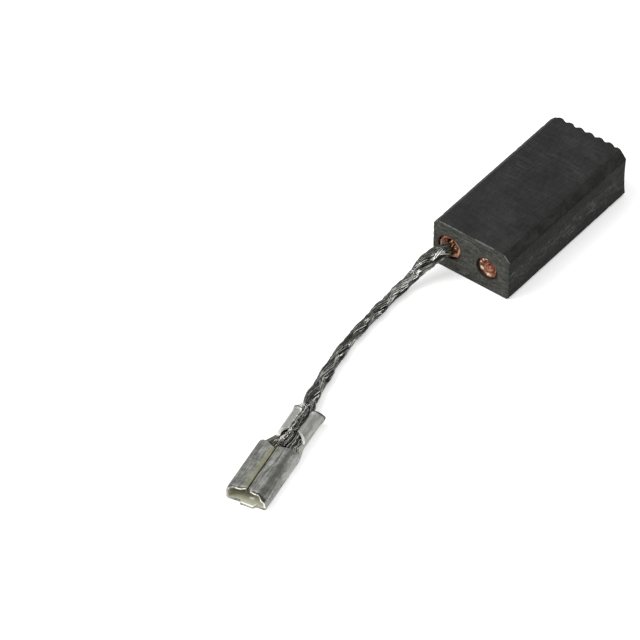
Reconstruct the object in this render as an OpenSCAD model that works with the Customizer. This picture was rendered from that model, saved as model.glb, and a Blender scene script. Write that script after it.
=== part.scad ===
// Carbon brush of the self-stopping kind, for a small commutator motor.
//
// The block lies on its wide face. X runs across its width, +Y points to the
// face that rubs on the commutator and +Z is up. The origin is under the middle
// of the block. Two blind holes are drilled in the rear face: one holds the
// braid in tamped copper powder, the other holds a sprung insulating pin behind
// a tamped copper plug. The braid ends in a folded push-on terminal.

/* [Carbon block] */
// Width of the block, along the commutator's axis
block_w = 8; // [7:0.1:10]
// Length of the block, from its rear face to the corners of its contact face
block_l = 17; // [15:0.5:24]
// Thickness of the block, along the commutator's rim
block_t = 4.9; // [4.5:0.1:7]
// Leg of the wide bevel on one upper long edge, which keys the block in its holder
key_bevel = 0.7; // [0.3:0.05:1.2]
// Leg of the small chamfer on the other upper long edge
top_chamfer = 0.45; // [0.1:0.05:0.8]
// Leg of the broken edges underneath
edge_break = 0.25; // [0.05:0.05:0.5]

/* [Contact face] */
// Radius of the commutator that the face is shaped to
commutator_r = 14; // [9:0.5:25]
// Number of ridges round the commutator
ridge_count = 7; // [3:1:8]
// Distance from one ridge to the next
ridge_pitch = 1.04; // [0.9:0.02:1.3]
// Flat left on the tip of each ridge
ridge_land = 0.22; // [0.1:0.02:0.5]
// Flat at the bottom of each groove
groove_floor = 0.04; // [0.02:0.02:0.2]
// Share of a ridge's two flanks that the steeper one takes, on the side of the braid
ridge_lean = 0.4; // [0.2:0.05:0.5]
// Depth of the grooves between the ridges
groove_depth = 0.22; // [0.1:0.02:0.6]
// Sideways shift of the ridges from the middle of the block
ridge_shift = 0.1; // [-0.3:0.05:0.3]

/* [Holes in the rear face] */
// Diameter of the hole for the braid
wire_hole_d = 2.4; // [2:0.1:2.6]
// Depth of the hole for the braid, without its drill point
wire_hole_depth = 4; // [3.6:0.1:6]
// Distance from the middle of the block to the braid's hole
wire_hole_offset = 2.2; // [1.8:0.1:2.4]
// Diameter of the hole for the self-stopping pin
stop_hole_d = 2.4; // [2:0.1:2.6]
// Depth of the hole for the pin, without its drill point: wear stops here
stop_hole_depth = 10.5; // [9.5:0.1:12]
// Distance from the middle of the block to the pin's hole
stop_hole_offset = 1.7; // [1.5:0.1:2.3]
// Included angle of the drill point in both holes
drill_angle = 118; // [90:1:150]

/* [Tamped copper] */
// Depth of the copper's rim below the rear face
copper_recess = 0.2; // [0.05:0.05:0.5]
// Depth of the funnel round the braid, from the copper's rim
funnel_depth = 0.5; // [0.1:0.05:0.8]
// Width of the copper's rim
copper_rim = 0.2; // [0.1:0.05:0.3]
// Length of the plug that closes the pin's hole
plug_l = 2; // [1.5:0.1:2.5]
// Depth of the ring pressed into the plug by the tamping tool
plug_dish = 0.45; // [0.1:0.05:0.8]
// Diameter of the raised middle of the plug
plug_dome_d = 0.9; // [0.5:0.05:1.1]

/* [Self-stopping pin] */
// Length of the pin's body, from its shoulder to the start of its point
pin_l = 3.4; // [2.5:0.1:4]
// Radial clearance of the pin in its hole
pin_clear = 0.1; // [0.05:0.01:0.2]
// Diameter of the pin's spigot, inside the spring
spigot_d = 1; // [0.7:0.05:1.15]
// Length of the pin's spigot
spigot_l = 1.4; // [0.8:0.1:2]
// Diameter of the spring's wire
spring_wire_d = 0.25; // [0.2:0.01:0.3]
// Radial clearance of the spring in the hole
spring_clear = 0.12; // [0.05:0.01:0.2]
// Turns of the spring that are open
open_turns = 5; // [3:1:6]

/* [Braid] */
// Diameter of the braid
braid_d = 1.2; // [1:0.05:1.4]
// Length of braid held in the copper
braid_held = 3; // [2.5:0.1:3.3]
// Clearance round the braid where copper or sheet holds it
braid_clear = 0.02; // [0.01:0.005:0.05]

/* [Terminal] */
// Thickness of the folded sheet
sheet_t = 0.3; // [0.25:0.01:0.4]
// Length of the rolled receptacle
socket_l = 5.95; // [5.5:0.05:8]
// Width of the receptacle over its rolled edges
socket_w = 3.7; // [3.6:0.05:4.4]
// Thickness of the tab that the receptacle takes
tab_t = 0.5; // [0.4:0.05:0.8]
// Height of the room above the tab, under the rolls
roll_room = 0.4; // [0.3:0.05:0.6]
// Outer radius of the receptacle's lower corners
socket_lower_r = 0.4; // [0.35:0.01:0.5]
// Outer radius of the receptacle's upper corners
socket_upper_r = 0.55; // [0.4:0.01:0.6]
// Width of the seam between the rolled edges
seam_gap = 0.1; // [0.05:0.01:0.2]
// Setback of the rolls from the front of the floor
roll_setback = 0.1; // [0.05:0.05:0.6]
// Extra setback of the rolls where they meet at the seam
seam_setback = 0.3; // [0.1:0.05:0.8]
// Width of the lead-in tongue
tongue_w = 1.5; // [1:0.1:2.4]
// Length of the lead-in tongue in front of the floor
tongue_l = 0.25; // [0.1:0.05:0.5]
// Diameter of the locking dimple in the floor
dimple_d = 1; // [0.6:0.1:1.4]
// Height of the locking dimple
dimple_h = 0.15; // [0.1:0.01:0.2]
// Length of the neck between receptacle and crimp
neck_l = 1.45; // [1.2:0.05:3]
// Height of the neck's side walls above its rounded lower corners
neck_wall = 0.3; // [0.1:0.05:0.4]
// Length of the crimp along the braid
crimp_l = 3.3; // [2.5:0.1:4.5]
// Clearance between the braid and the crimp's side walls
crimp_side_clear = 0.36; // [0.1:0.01:0.4]
// Radius of the crimp's lower corners, outside
crimp_lower_r = 0.8; // [0.5:0.05:0.9]
// Radius of the crimp's rolled wings, outside
wing_r = 0.62; // [0.5:0.01:0.7]
// Opening left between the wings
wing_gap = 0.8; // [0.5:0.05:1]
// Length trimmed from the wings' corners at the neck
wing_front_trim = 0.5; // [0.1:0.05:1.2]
// Length trimmed from the wings' corners where the braid comes in
wing_rear_trim = 0.3; // [0.1:0.05:1.2]
// Length of the bell mouth where the braid comes in
bell_l = 0.6; // [0.3:0.05:1]
// How far the bell mouth opens out on each side
bell_flare = 0.15; // [0.05:0.01:0.3]
// Sideways set of the crimp from the receptacle's middle line
crimp_shift = 0.4; // [-0.4:0.05:0.4]

/* [Hidden] */

$fn = 64;
// Overlap that keeps a cutting tool clear of the face it cuts
eps = 0.02;
carbon_grey = [0.20, 0.20, 0.20];
copper_red = [0.72, 0.43, 0.33];
tin_grey = [0.68, 0.68, 0.65];
braid_grey = [0.38, 0.37, 0.35];
spring_grey = [0.55, 0.56, 0.58];
pin_cream = [0.85, 0.80, 0.66];

rear_y = -block_l / 2;
hole_z = block_t / 2;
wire_hole_x = -wire_hole_offset;
stop_hole_x = stop_hole_offset;

// End of the blank, which the commutator's form cuts back to the block's length
blank_end = block_l / 2 + 2 * groove_depth;
// The commutator's axis stands off so that the ridges' tips end at the block's corners
commutator_y = block_l / 2 + sqrt(pow(commutator_r, 2) - pow(block_t / 2, 2));
flanks_w = ridge_pitch - ridge_land - groove_floor;
steep_w = ridge_lean * flanks_w;
gentle_w = flanks_w - steep_w;
ridge_xs = [
    for (i = [0 : ridge_count - 1])
        ridge_shift + (i - (ridge_count - 1) / 2) * ridge_pitch
];
// Half the width of the commutator's form, past the block on both sides
commutator_half = (block_w + ridge_count * ridge_pitch) / 2 + abs(ridge_shift);

braid_r = braid_d / 2;
braid_sides = 8;
// The braid's flats, which are nearer its middle than its corners
braid_flat = braid_r * cos(180 / braid_sides);
braid_start = copper_recess + braid_held;

// Depths in the pin's hole, from the rear face
point_half_angle = drill_angle / 2;
stop_point_depth = stop_hole_depth + stop_hole_d / 2 / tan(point_half_angle);
pin_r = stop_hole_d / 2 - pin_clear;
pin_point_l = pin_r / tan(point_half_angle);
pin_shoulder = stop_point_depth - pin_point_l - pin_l;
plug_end = copper_recess + plug_l;
spring_r = stop_hole_d / 2 - spring_clear - spring_wire_d / 2;
spring_l = pin_shoulder - plug_end;

// Terminal: the floor's front edge is at 0 and the braid comes in from +Y
roll_h = 2 * sheet_t + tab_t + roll_room;
socket_end = socket_l;
crimp_start = socket_end + neck_l;
crimp_end = crimp_start + crimp_l;
crimp_w = 2 * (braid_r + crimp_side_clear + sheet_t);
crimp_h = 2 * (braid_flat + braid_clear + sheet_t);
braid_z = crimp_h / 2;
// Height up to which the crimp keeps its whole length
wing_root = crimp_lower_r + neck_wall;
// Height past the wings, their bell mouth and all
wing_top = crimp_h + 2 * bell_flare;

// The free braid: [sideways from the hole, rearward from the rear face, height]
braid_free = [
    [0, 0.1, 2.45], [-0.3, 0.7, 2.4], [-0.68, 1.5, 2.15], [-1, 2.4, 1.7],
    [-1.2, 3.4, 1.15], [-1.35, 4.5, 0.8], [-1.42, 5.7, 0.65], [-1.38, 7, 0.6],
    [-1.28, 8.8, 0.6], [-1.15, 10.4, 0.6], [-1.03, 11.8, 0.6], [-0.84, 13.2, 0.6],
    [-0.57, 14.6, 0.6], [-0.27, 16, 0.6], [0.12, 17.4, 0.6], [0.5, 18.8, 0.65],
    [0.98, 20.2, 0.75]
];
// Where the terminal lies: the front of its floor, and how far it is turned
terminal_x = 3.85;
terminal_back = 32.4;
terminal_turn = 12;
terminal_at = [wire_hole_x + terminal_x, rear_y - terminal_back, 0];

function turned(p, a) = [p.x * cos(a) - p.y * sin(a), p.x * sin(a) + p.y * cos(a), p.z];
function on_terminal(x, y, z) = terminal_at + turned([x, y, z], terminal_turn);

braid_route = concat(
    [
        [wire_hole_x, rear_y + braid_start, hole_z],
        [wire_hole_x, rear_y + braid_start / 2, hole_z],
        [wire_hole_x, rear_y + copper_recess, hole_z]
    ],
    [for (p = braid_free) [wire_hole_x + p.x, rear_y - p.y, p.z]],
    [
        on_terminal(crimp_shift, crimp_end, braid_z),
        on_terminal(crimp_shift, crimp_end - crimp_l / 2, braid_z),
        on_terminal(crimp_shift, crimp_start, braid_z),
        on_terminal(crimp_shift / 2, crimp_start - neck_l / 2, braid_z),
        on_terminal(0, socket_end + sheet_t, braid_z)
    ]
);

// Unit vector
function unit(v) = v / norm(v);

// Direction of a line of points at one of them
function heading(pts, i) = unit(pts[min(i + 1, len(pts) - 1)] - pts[max(i - 1, 0)]);

// Ring of points round a line, with a flat underneath
function ring_at(pts, i, radius, sides) =
    let (
        ahead = heading(pts, i),
        across = unit(cross([0, 0, 1], ahead)),
        above = cross(ahead, across)
    )
    [
        for (k = [0 : sides - 1])
            let (a = 360 * (k + 0.5) / sides)
            pts[i] + radius * (across * cos(a) + above * sin(a))
    ];

// Closed solid through rings that all have the same number of points. A folded
// ring runs out along one side of a sheet and back along the other
module skin(rings, folded = false) {
    n = len(rings[0]);
    last = (len(rings) - 1) * n;
    points = [for (ring = rings) each ring];
    side_faces = [
        for (i = [0 : n : last - n], k = [0 : n - 1])
            let (k2 = (k + 1) % n)
            each [[i + k, i + k2, i + n + k2], [i + k, i + n + k2, i + n + k]]
    ];
    cap = folded
        ? [for (k = [0 : n / 2 - 2]) [k, k + 1, n - 2 - k, n - 1 - k]]
        : [[for (k = [0 : n - 1]) k]];
    first_cap = [for (f = cap) [for (k = [len(f) - 1 : -1 : 0]) f[k]]];
    last_cap = [for (f = cap) [for (k = f) last + k]];
    polyhedron(points = points, faces = concat(first_cap, side_faces, last_cap));
}

// Turns a shape made along +Z to lie along +Y, at a depth below the rear face
module in_rear_face(x) {
    translate([x, rear_y, hole_z]) rotate([-90, 0, 0]) children();
}

module drilled_hole(x, d, depth) {
    in_rear_face(x)
        rotate_extrude()
            polygon([
                [0, -eps],
                [d / 2, -eps],
                [d / 2, depth],
                [0, depth + d / 2 / tan(point_half_angle)]
            ]);
}

// Section of the block across its length
module block_section() {
    half = block_w / 2;
    polygon([
        [-half + edge_break, 0],
        [half - edge_break, 0],
        [half, edge_break],
        [half, block_t - key_bevel],
        [half - key_bevel, block_t],
        [-half + top_chamfer, block_t],
        [-half, block_t - top_chamfer],
        [-half, edge_break]
    ]);
}

// The commutator's form, grooved the other way round so that it leaves ridges
module commutator_form() {
    groove_r = commutator_r + groove_depth;
    ridges = [
        for (x = ridge_xs)
            each [
                [groove_r, x - ridge_land / 2 - steep_w],
                [commutator_r, x - ridge_land / 2],
                [commutator_r, x + ridge_land / 2],
                [groove_r, x + ridge_land / 2 + gentle_w]
            ]
    ];
    translate([0, commutator_y, hole_z])
        rotate([0, 90, 0])
            rotate_extrude($fn = 180)
                polygon(concat(
                    [[0, -commutator_half], [groove_r, -commutator_half]],
                    ridges,
                    [[groove_r, commutator_half], [0, commutator_half]]
                ));
}

module carbon_block() {
    color(carbon_grey)
        difference() {
            translate([0, blank_end, 0])
                rotate([90, 0, 0])
                    linear_extrude(blank_end - rear_y)
                        block_section();
            commutator_form();
            drilled_hole(wire_hole_x, wire_hole_d, wire_hole_depth);
            drilled_hole(stop_hole_x, stop_hole_d, stop_hole_depth);
        }
}

// Copper powder tamped round the end of the braid, with a funnel at its mouth
module wire_tamping() {
    hole_r = wire_hole_d / 2;
    bore_r = braid_r + braid_clear;
    color(copper_red)
        in_rear_face(wire_hole_x)
            rotate_extrude()
                polygon([
                    [0, braid_start],
                    [bore_r, braid_start],
                    [bore_r, copper_recess + funnel_depth],
                    [hole_r - copper_rim, copper_recess],
                    [hole_r, copper_recess],
                    [hole_r, wire_hole_depth],
                    [0, wire_hole_depth + hole_r / tan(point_half_angle)]
                ]);
}

module shunt_wire() {
    color(braid_grey)
        skin([
            for (i = [0 : len(braid_route) - 1])
                ring_at(braid_route, i, braid_r, braid_sides)
        ]);
}

// Copper powder tamped over the spring, with the ring that the tool left in it
module cutoff_plug() {
    plug_r = stop_hole_d / 2;
    dome_r = plug_dome_d / 2;
    color(copper_red)
        in_rear_face(stop_hole_x)
            rotate_extrude()
                polygon([
                    [0, copper_recess],
                    [dome_r * 0.6, copper_recess + plug_dish * 0.2],
                    [dome_r, copper_recess + plug_dish],
                    [plug_r - copper_rim, copper_recess + plug_dish * 0.6],
                    [plug_r - copper_rim / 2, copper_recess],
                    [plug_r, copper_recess],
                    [plug_r, plug_end],
                    [0, plug_end]
                ]);
}

// Compression spring with one closed turn at each end
module cutoff_spring() {
    steps = 14;
    seat = spring_wire_d / 2;
    closed = spring_wire_d * 1.05;
    rise = (spring_l - 2 * seat - 2 * closed) / open_turns;
    turns = open_turns + 2;
    function climb(t) =
        seat + closed * min(t, 1) + rise * min(max(t - 1, 0), open_turns)
        + closed * max(t - 1 - open_turns, 0);
    line = [
        for (i = [0 : turns * steps])
            let (t = i / steps)
            [spring_r * cos(360 * t), spring_r * sin(360 * t), climb(t)]
    ];
    color(spring_grey)
        in_rear_face(stop_hole_x)
            translate([0, 0, plug_end])
                skin([
                    for (i = [0 : len(line) - 1])
                        ring_at(line, i, spring_wire_d / 2, 6)
                ]);
}

// Insulating pin, which its spring drives out when the carbon has worn to its hole
module cutoff_pin() {
    color(pin_cream)
        in_rear_face(stop_hole_x)
            rotate_extrude()
                polygon([
                    [0, pin_shoulder - spigot_l],
                    [spigot_d / 2, pin_shoulder - spigot_l],
                    [spigot_d / 2, pin_shoulder],
                    [pin_r, pin_shoulder],
                    [pin_r, pin_shoulder + pin_l],
                    [0, pin_shoulder + pin_l + pin_point_l]
                ]);
}

// Box with rounded lower and upper corners, standing on the X axis
module rounded_profile(w, h, lower_r, upper_r, inset) {
    half = w / 2;
    for (side = [-1, 1]) {
        translate([side * (half - lower_r), lower_r]) circle(lower_r - inset);
        translate([side * (half - upper_r), h - upper_r]) circle(upper_r - inset);
    }
    translate([-half + inset, lower_r]) square([w - 2 * inset, h - lower_r - upper_r]);
    translate([-half + lower_r, inset]) square([w - 2 * lower_r, h / 2 - inset]);
    translate([-half + upper_r, h / 2]) square([w - 2 * upper_r, h / 2 - inset]);
}

// Extrudes a section along the terminal, between two places on it
module along_terminal(from, to) {
    translate([0, to, 0]) rotate([90, 0, 0]) linear_extrude(to - from) children();
}

// Section of the receptacle's rolls: a rounded sheet whose two edges turn down at
// the seam and end just above the tab
module roll_section() {
    lip_end = sheet_t + tab_t;
    lip_out = seam_gap / 2 + sheet_t;
    difference() {
        rounded_profile(socket_w, roll_h, socket_lower_r, socket_upper_r, 0);
        difference() {
            rounded_profile(socket_w, roll_h, socket_lower_r, socket_upper_r, sheet_t);
            translate([-lip_out, lip_end]) square([2 * lip_out, roll_h]);
        }
        translate([-seam_gap / 2, lip_end - eps]) square([seam_gap, roll_h]);
        for (side = [-1, 1])
            translate([side * seam_gap / 2, roll_h]) seam_corner(side);
    }
}

// What the sheet's bend leaves empty beside the seam
module seam_corner(side) {
    difference() {
        translate([side > 0 ? -eps : -sheet_t, -sheet_t]) square([sheet_t + eps, sheet_t + eps]);
        translate([side * sheet_t, -sheet_t]) circle(sheet_t);
    }
}

// Wedges that set the rolls back at the seam, at the mouth and at the rear
module seam_notch(at, way) {
    translate([0, 0, sheet_t + tab_t / 2])
        linear_extrude(roll_h)
            polygon([
                [0, at + way * seam_setback],
                [socket_w / 2, at - way * eps],
                [socket_w / 2, at - way * seam_setback],
                [-socket_w / 2, at - way * seam_setback],
                [-socket_w / 2, at - way * eps]
            ]);
}

module receptacle() {
    floor_w = socket_w - 2 * socket_lower_r;
    difference() {
        union() {
            difference() {
                along_terminal(roll_setback, socket_end) roll_section();
                seam_notch(roll_setback, 1);
                seam_notch(socket_end, -1);
            }
            translate([-floor_w / 2, 0, 0]) cube([floor_w, socket_end, sheet_t]);
            translate([-tongue_w / 2, -tongue_l, 0]) cube([tongue_w, tongue_l + eps, sheet_t]);
            translate([0, socket_l / 2, sheet_t - eps])
                cylinder(d1 = dimple_d, d2 = dimple_d / 2, h = dimple_h + eps);
        }
        translate([0, socket_l / 2, -eps])
            cylinder(d1 = dimple_d * 0.8, d2 = dimple_d / 2, h = dimple_h + eps);
    }
}

// Ring round a folded sheet, out along one face of its section and back along the
// other. Each half line runs from the sheet's free edge to its floor, at one side
function folded_ring(y, x, outer, inner) =
    let (
        whole = function(half) concat(
            [for (p = half) [-p.x, p.y]],
            [for (k = [len(half) - 1 : -1 : 0]) half[k]]
        ),
        back = whole(inner)
    )
    [
        for (p = concat(whole(outer), [for (k = [len(back) - 1 : -1 : 0]) back[k]]))
            [x + p.x, y, p.y]
    ];

// Half line of the crimp's section: a wing rolled over the braid, and its side
function crimp_half(inset, flare) =
    let (
        steps = 8,
        side = crimp_w / 2 + flare,
        top = crimp_h + flare,
        upper_r = wing_r - inset,
        lower_r = crimp_lower_r - inset
    )
    concat(
        [[wing_gap / 2, top - inset]],
        [
            for (a = [0 : 90 / steps : 90])
                [side - wing_r + upper_r * sin(a), top - wing_r + upper_r * cos(a)]
        ],
        [
            for (a = [90 : -90 / steps : 0])
                [side - crimp_lower_r + lower_r * sin(a), crimp_lower_r - lower_r * cos(a)]
        ]
    );

module crimp() {
    // Places along the crimp, and how far the section has opened out at each
    stations = [
        [crimp_start, 0],
        [crimp_end - bell_l, 0],
        [crimp_end - bell_l / 2, bell_flare / 3],
        [crimp_end, bell_flare]
    ];
    difference() {
        skin([
            for (s = stations)
                folded_ring(s[0], crimp_shift, crimp_half(0, s[1]), crimp_half(sheet_t, s[1]))
        ], folded = true);
        translate([crimp_shift, 0, 0]) {
            wing_slope(crimp_start, wing_front_trim);
            wing_slope(crimp_end, -wing_rear_trim);
        }
    }
}

// What the sheet's cut leaves empty at one end of the wings, whose edges slope back
module wing_slope(at, trim) {
    outside = -sign(trim) * eps;
    past_bell = crimp_w / 2 + bell_flare + eps;
    translate([-past_bell, at, 0])
        rotate([90, 0, 90])
            linear_extrude(2 * past_bell)
                polygon([
                    [outside, wing_root],
                    [trim, wing_top],
                    [outside, wing_top]
                ]);
}

// Ring round an open trough. Its sheet is thinner by eps on both sides, so that its
// ends fit inside what it joins
function trough(y, x, half_w, corner_r) =
    let (
        steps = 6,
        half_line = function(r) concat(
            [[half_w - corner_r + r, corner_r + neck_wall]],
            [
                for (a = [90 : -90 / steps : 0])
                    [half_w - corner_r + r * sin(a), corner_r - r * cos(a)]
            ]
        )
    )
    folded_ring(y, x, half_line(corner_r - eps), half_line(corner_r - sheet_t + eps));

// Neck: an open trough that narrows from the receptacle to the crimp, and laps
// inside the sheet of both
module neck() {
    steps = 6;
    function ease(t) = t * t * (3 - 2 * t);
    // Places along the neck, and how far it has narrowed at each
    stations = concat(
        [[-sheet_t, 0]],
        [for (i = [0 : steps]) [eps + (neck_l - 2 * eps) * i / steps, ease(i / steps)]],
        [[neck_l + sheet_t, 1]]
    );
    skin([
        for (s = stations)
            trough(
                socket_end + s[0],
                crimp_shift * s[1],
                socket_w / 2 + (crimp_w - socket_w) / 2 * s[1],
                socket_lower_r + (crimp_lower_r - socket_lower_r) * s[1]
            )
    ], folded = true);
}

// Push-on terminal, folded from one piece of sheet
module terminal() {
    color(tin_grey)
        translate(terminal_at)
            rotate([0, 0, terminal_turn]) {
                receptacle();
                neck();
                crimp();
            }
}

carbon_block();
wire_tamping();
shunt_wire();
terminal();
cutoff_plug();
cutoff_spring();
cutoff_pin();
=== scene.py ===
# %% [markdown]
# # A carbon brush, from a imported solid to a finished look
#
# The object is a small block of graphite that rubs on the commutator of a motor.
# A braid of fine tinned wires is tamped into its rear face with copper powder and
# ends in a push-on terminal, folded from one piece of tinned sheet.
#
# The solids are ready and fix every size. What is left for Blender is the finish:
# ground and sawn graphite, lumpy copper, a braid made of real wires and a sheet
# with soft bends and bright cut edges. Each surface is worked out with numpy as
# whole arrays, so that its formula can be read.

# %% Load the solids and keep their box
import math

import bmesh
import bpy
import numpy as np
from mathutils import Matrix, Vector


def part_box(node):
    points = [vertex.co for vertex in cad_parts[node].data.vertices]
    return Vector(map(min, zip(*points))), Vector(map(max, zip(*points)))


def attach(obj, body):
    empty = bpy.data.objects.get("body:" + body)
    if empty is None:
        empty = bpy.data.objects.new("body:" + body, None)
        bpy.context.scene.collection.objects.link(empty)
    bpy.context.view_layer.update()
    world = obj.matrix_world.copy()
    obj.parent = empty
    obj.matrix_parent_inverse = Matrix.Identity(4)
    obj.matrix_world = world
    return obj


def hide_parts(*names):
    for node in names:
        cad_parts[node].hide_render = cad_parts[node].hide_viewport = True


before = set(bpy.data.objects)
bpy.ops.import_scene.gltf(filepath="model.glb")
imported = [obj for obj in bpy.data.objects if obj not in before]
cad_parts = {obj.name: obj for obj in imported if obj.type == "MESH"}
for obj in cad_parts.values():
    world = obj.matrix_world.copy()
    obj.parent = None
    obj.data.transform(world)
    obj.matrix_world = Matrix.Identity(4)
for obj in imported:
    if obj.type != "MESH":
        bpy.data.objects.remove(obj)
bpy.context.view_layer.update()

# %% [markdown]
# ## Sizes
#
# All lengths below are millimetres, because that is how such a brush is drawn.
# Only the last step of making a mesh turns them into metres. The numbers repeat
# the solids' own sizes, and the line printed after them shows the block's size in
# both. The brush's width is x, its length is y and its thickness is z.
#
# The rims of the two holes are dressed after drilling and filling, so each mouth
# looks a little narrower than the drill, and lies a little beside it.

# %% The sizes of the brush, in millimetres
MM = 0.001
BLOCK_W, BLOCK_L, BLOCK_T = 8.0, 17.0, 4.9
HALF_W, REAR_Y = BLOCK_W / 2, -BLOCK_L / 2
KEY_BEVEL, TOP_CHAMFER, EDGE_BREAK = 0.7, 0.45, 0.25
HOLE_R, HOLE_Z = 1.2, BLOCK_T / 2
WIRE_HOLE_X, STOP_HOLE_X = -2.2, 1.7
# Each mouth: (x, z, radius)
WIRE_MOUTH, STOP_MOUTH = (-2.28, 2.5, 1.15), (1.66, 2.3, 1.05)
BRAID_D, BRAID_SIDES, BRAID_CLEAR = 1.2, 8, 0.02
COPPER_RECESS, BRAID_START = 0.2, 3.2
SHEET_T = 0.3
TERMINAL_AT, TERMINAL_TURN = (1.65, -40.9, 0.0), math.radians(12)

lowest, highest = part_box("carbon_block")
print(
    "block in the solids:", np.round((np.array(highest) - np.array(lowest)) / MM, 3),
    "and here:", (BLOCK_W, BLOCK_L, BLOCK_T),
)

# %% [markdown]
# ## Camera
#
# The brush is seen from behind and above through a long lens, which keeps the
# block's edges almost parallel. The camera's place is counted from a point under
# the block: back along the line of sight, then aside and down in the view.
# Nothing later moves it.

# %% Place the camera
AZIMUTH, ELEVATION, LENS, SENSOR = math.radians(38.036), math.radians(43.514), 295.9, 36.0
DISTANCE, ASIDE, LOWERED = 450.0, -17.911, -7.902
UNDER_BLOCK = Vector((0, -0.1, 0))

camera_back = Vector((
    math.sin(AZIMUTH) * math.cos(ELEVATION),
    -math.cos(AZIMUTH) * math.cos(ELEVATION),
    math.sin(ELEVATION),
))
camera_right = Vector((math.cos(AZIMUTH), math.sin(AZIMUTH), 0))
camera_up = camera_back.cross(camera_right)
camera_place = camera_back * DISTANCE + camera_right * ASIDE + camera_up * LOWERED + UNDER_BLOCK

camera_data = bpy.data.cameras.new("camera")
camera_data.lens, camera_data.sensor_width = LENS, SENSOR
camera_data.clip_start, camera_data.clip_end = 0.01, 20.0
camera = bpy.data.objects.new("camera", camera_data)
bpy.context.scene.collection.objects.link(camera)
camera.matrix_world = (
    Matrix.Translation(camera_place * MM)
    @ Matrix((camera_right, camera_up, camera_back)).transposed().to_4x4()
)
bpy.context.scene.camera = camera
print("camera at", np.round(np.array(camera.location), 4).tolist())

# %% [markdown]
# ## From arrays to meshes
#
# A surface is a grid of points: one parameter counts the rows, the other the
# places along a row. Its faces join each point with the next one along both, so
# they can be written once as index arithmetic and used for every shape.
# Several grids may share an edge. They are joined into one mesh, points in the
# same place are merged, and the faces are turned to point outwards.
#
# A mark is a number kept at each point, for a finish that follows the shape, such
# as the distance from a sheet's edge.

# %% Grids, and meshes made of them
def grid_faces(rows, columns, ring=False):
    """Corner numbers of a grid's faces: (r, c), (r, c+1), (r+1, c+1), (r+1, c).

    A ring's last column joins its first.
    """
    r, c = np.meshgrid(
        np.arange(rows - 1), np.arange(columns if ring else columns - 1), indexing="ij"
    )
    across = (c + 1) % columns
    return np.stack(
        [r * columns + c, r * columns + across, (r + 1) * columns + across, (r + 1) * columns + c],
        axis=-1,
    ).reshape(-1, 4)


def mesh_of(name, grids, merge=1e-4, outwards=True, **marks):
    """One mesh from (points, faces) pairs in millimetres, with its marks.

    Points closer than merge become one.
    """
    counts = np.cumsum([0] + [len(p) for p, _ in grids])
    points = np.concatenate([p for p, _ in grids])
    faces = np.concatenate([f + n for (_, f), n in zip(grids, counts)])
    used, place = np.unique(faces, return_inverse=True)
    mesh = bpy.data.meshes.new(name)
    mesh.from_pydata((points[used] * MM).tolist(), [], place.reshape(faces.shape).tolist())
    for mark, values in marks.items():
        layer = mesh.attributes.new(mark, "FLOAT", "POINT")
        layer.data.foreach_set("value", values.astype(np.float32)[used])
    if merge or outwards:
        work = bmesh.new()
        work.from_mesh(mesh)
        if merge:
            bmesh.ops.remove_doubles(work, verts=work.verts, dist=merge * MM)
        if outwards:
            bmesh.ops.recalc_face_normals(work, faces=work.faces)
        work.to_mesh(mesh)
        work.free()
    mesh.polygons.foreach_set("use_smooth", np.ones(len(mesh.polygons), bool))
    mesh.update()
    return mesh


def piece(name, mesh, material, stands_for=None):
    """An object that rides on the brush, with its finish, in place of a solid if one is named."""
    made = bpy.data.objects.new(name, mesh)
    bpy.context.scene.collection.objects.link(made)
    mesh.materials.append(material)
    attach(made, "root")
    if stands_for:
        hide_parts(stands_for)
    print(f"{name}: {len(mesh.vertices)} points, {len(mesh.polygons)} faces")
    return made


# %% [markdown]
# ## Curves that every shape uses
#
# Nothing on a worn part is quite straight, and nothing starts with a jerk. Four
# small curves say most of it: a smooth step, a bell, the nearness of an edge, and
# an irregular wave that is the same on each run.

# %% Step, bell, nearness and wave
def ease(low, high, x):
    """Runs smoothly from 0 at low to 1 at high: 3t^2 - 2t^3."""
    t = np.clip((x - low) / (high - low), 0, 1)
    return t * t * (3 - 2 * t)


def hump(x, middle, width):
    """A bell of height 1: exp(-((x - middle) / width)^2)."""
    return np.exp(-(((x - middle) / width) ** 2))


def near(gap, reach):
    """1 at an edge, 0 at a reach from it and beyond: (1 - gap / reach)^2."""
    return np.clip(1 - gap / reach, 0, 1) ** 2


def ripple(x, seed, low=1.0, high=6.0, waves=9):
    """Irregular wave round 0 of about unit height.

    It is a sum of sines whose rates, from low to high, and starts come from a seed.
    """
    draw = np.random.default_rng(seed)
    rate = draw.uniform(low, high, waves)
    start = draw.uniform(0, 2 * np.pi, waves)
    return np.sin(np.asarray(x)[..., None] * rate + start).sum(-1) / math.sqrt(waves)


def unit(vectors):
    """The same directions, each 1 long. The small number keeps a zero from dividing."""
    return vectors / (np.linalg.norm(vectors, axis=-1, keepdims=True) + 1e-9)


print("a wave from its lowest to its highest:", np.round(np.ptp(ripple(np.arange(50), 3)), 2))

# %% [markdown]
# ## Shader maths in plain expressions
#
# A material is a graph of nodes, and arithmetic in it takes one Math node for each
# operation. Writing those by hand hides the formula. Here a small class stands for
# a socket and gives it Python's operators, so that `1 - mask * 0.5` adds the nodes.
# Every other node comes from one method that takes its type, its settings and the
# values or links of its sockets.

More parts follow.
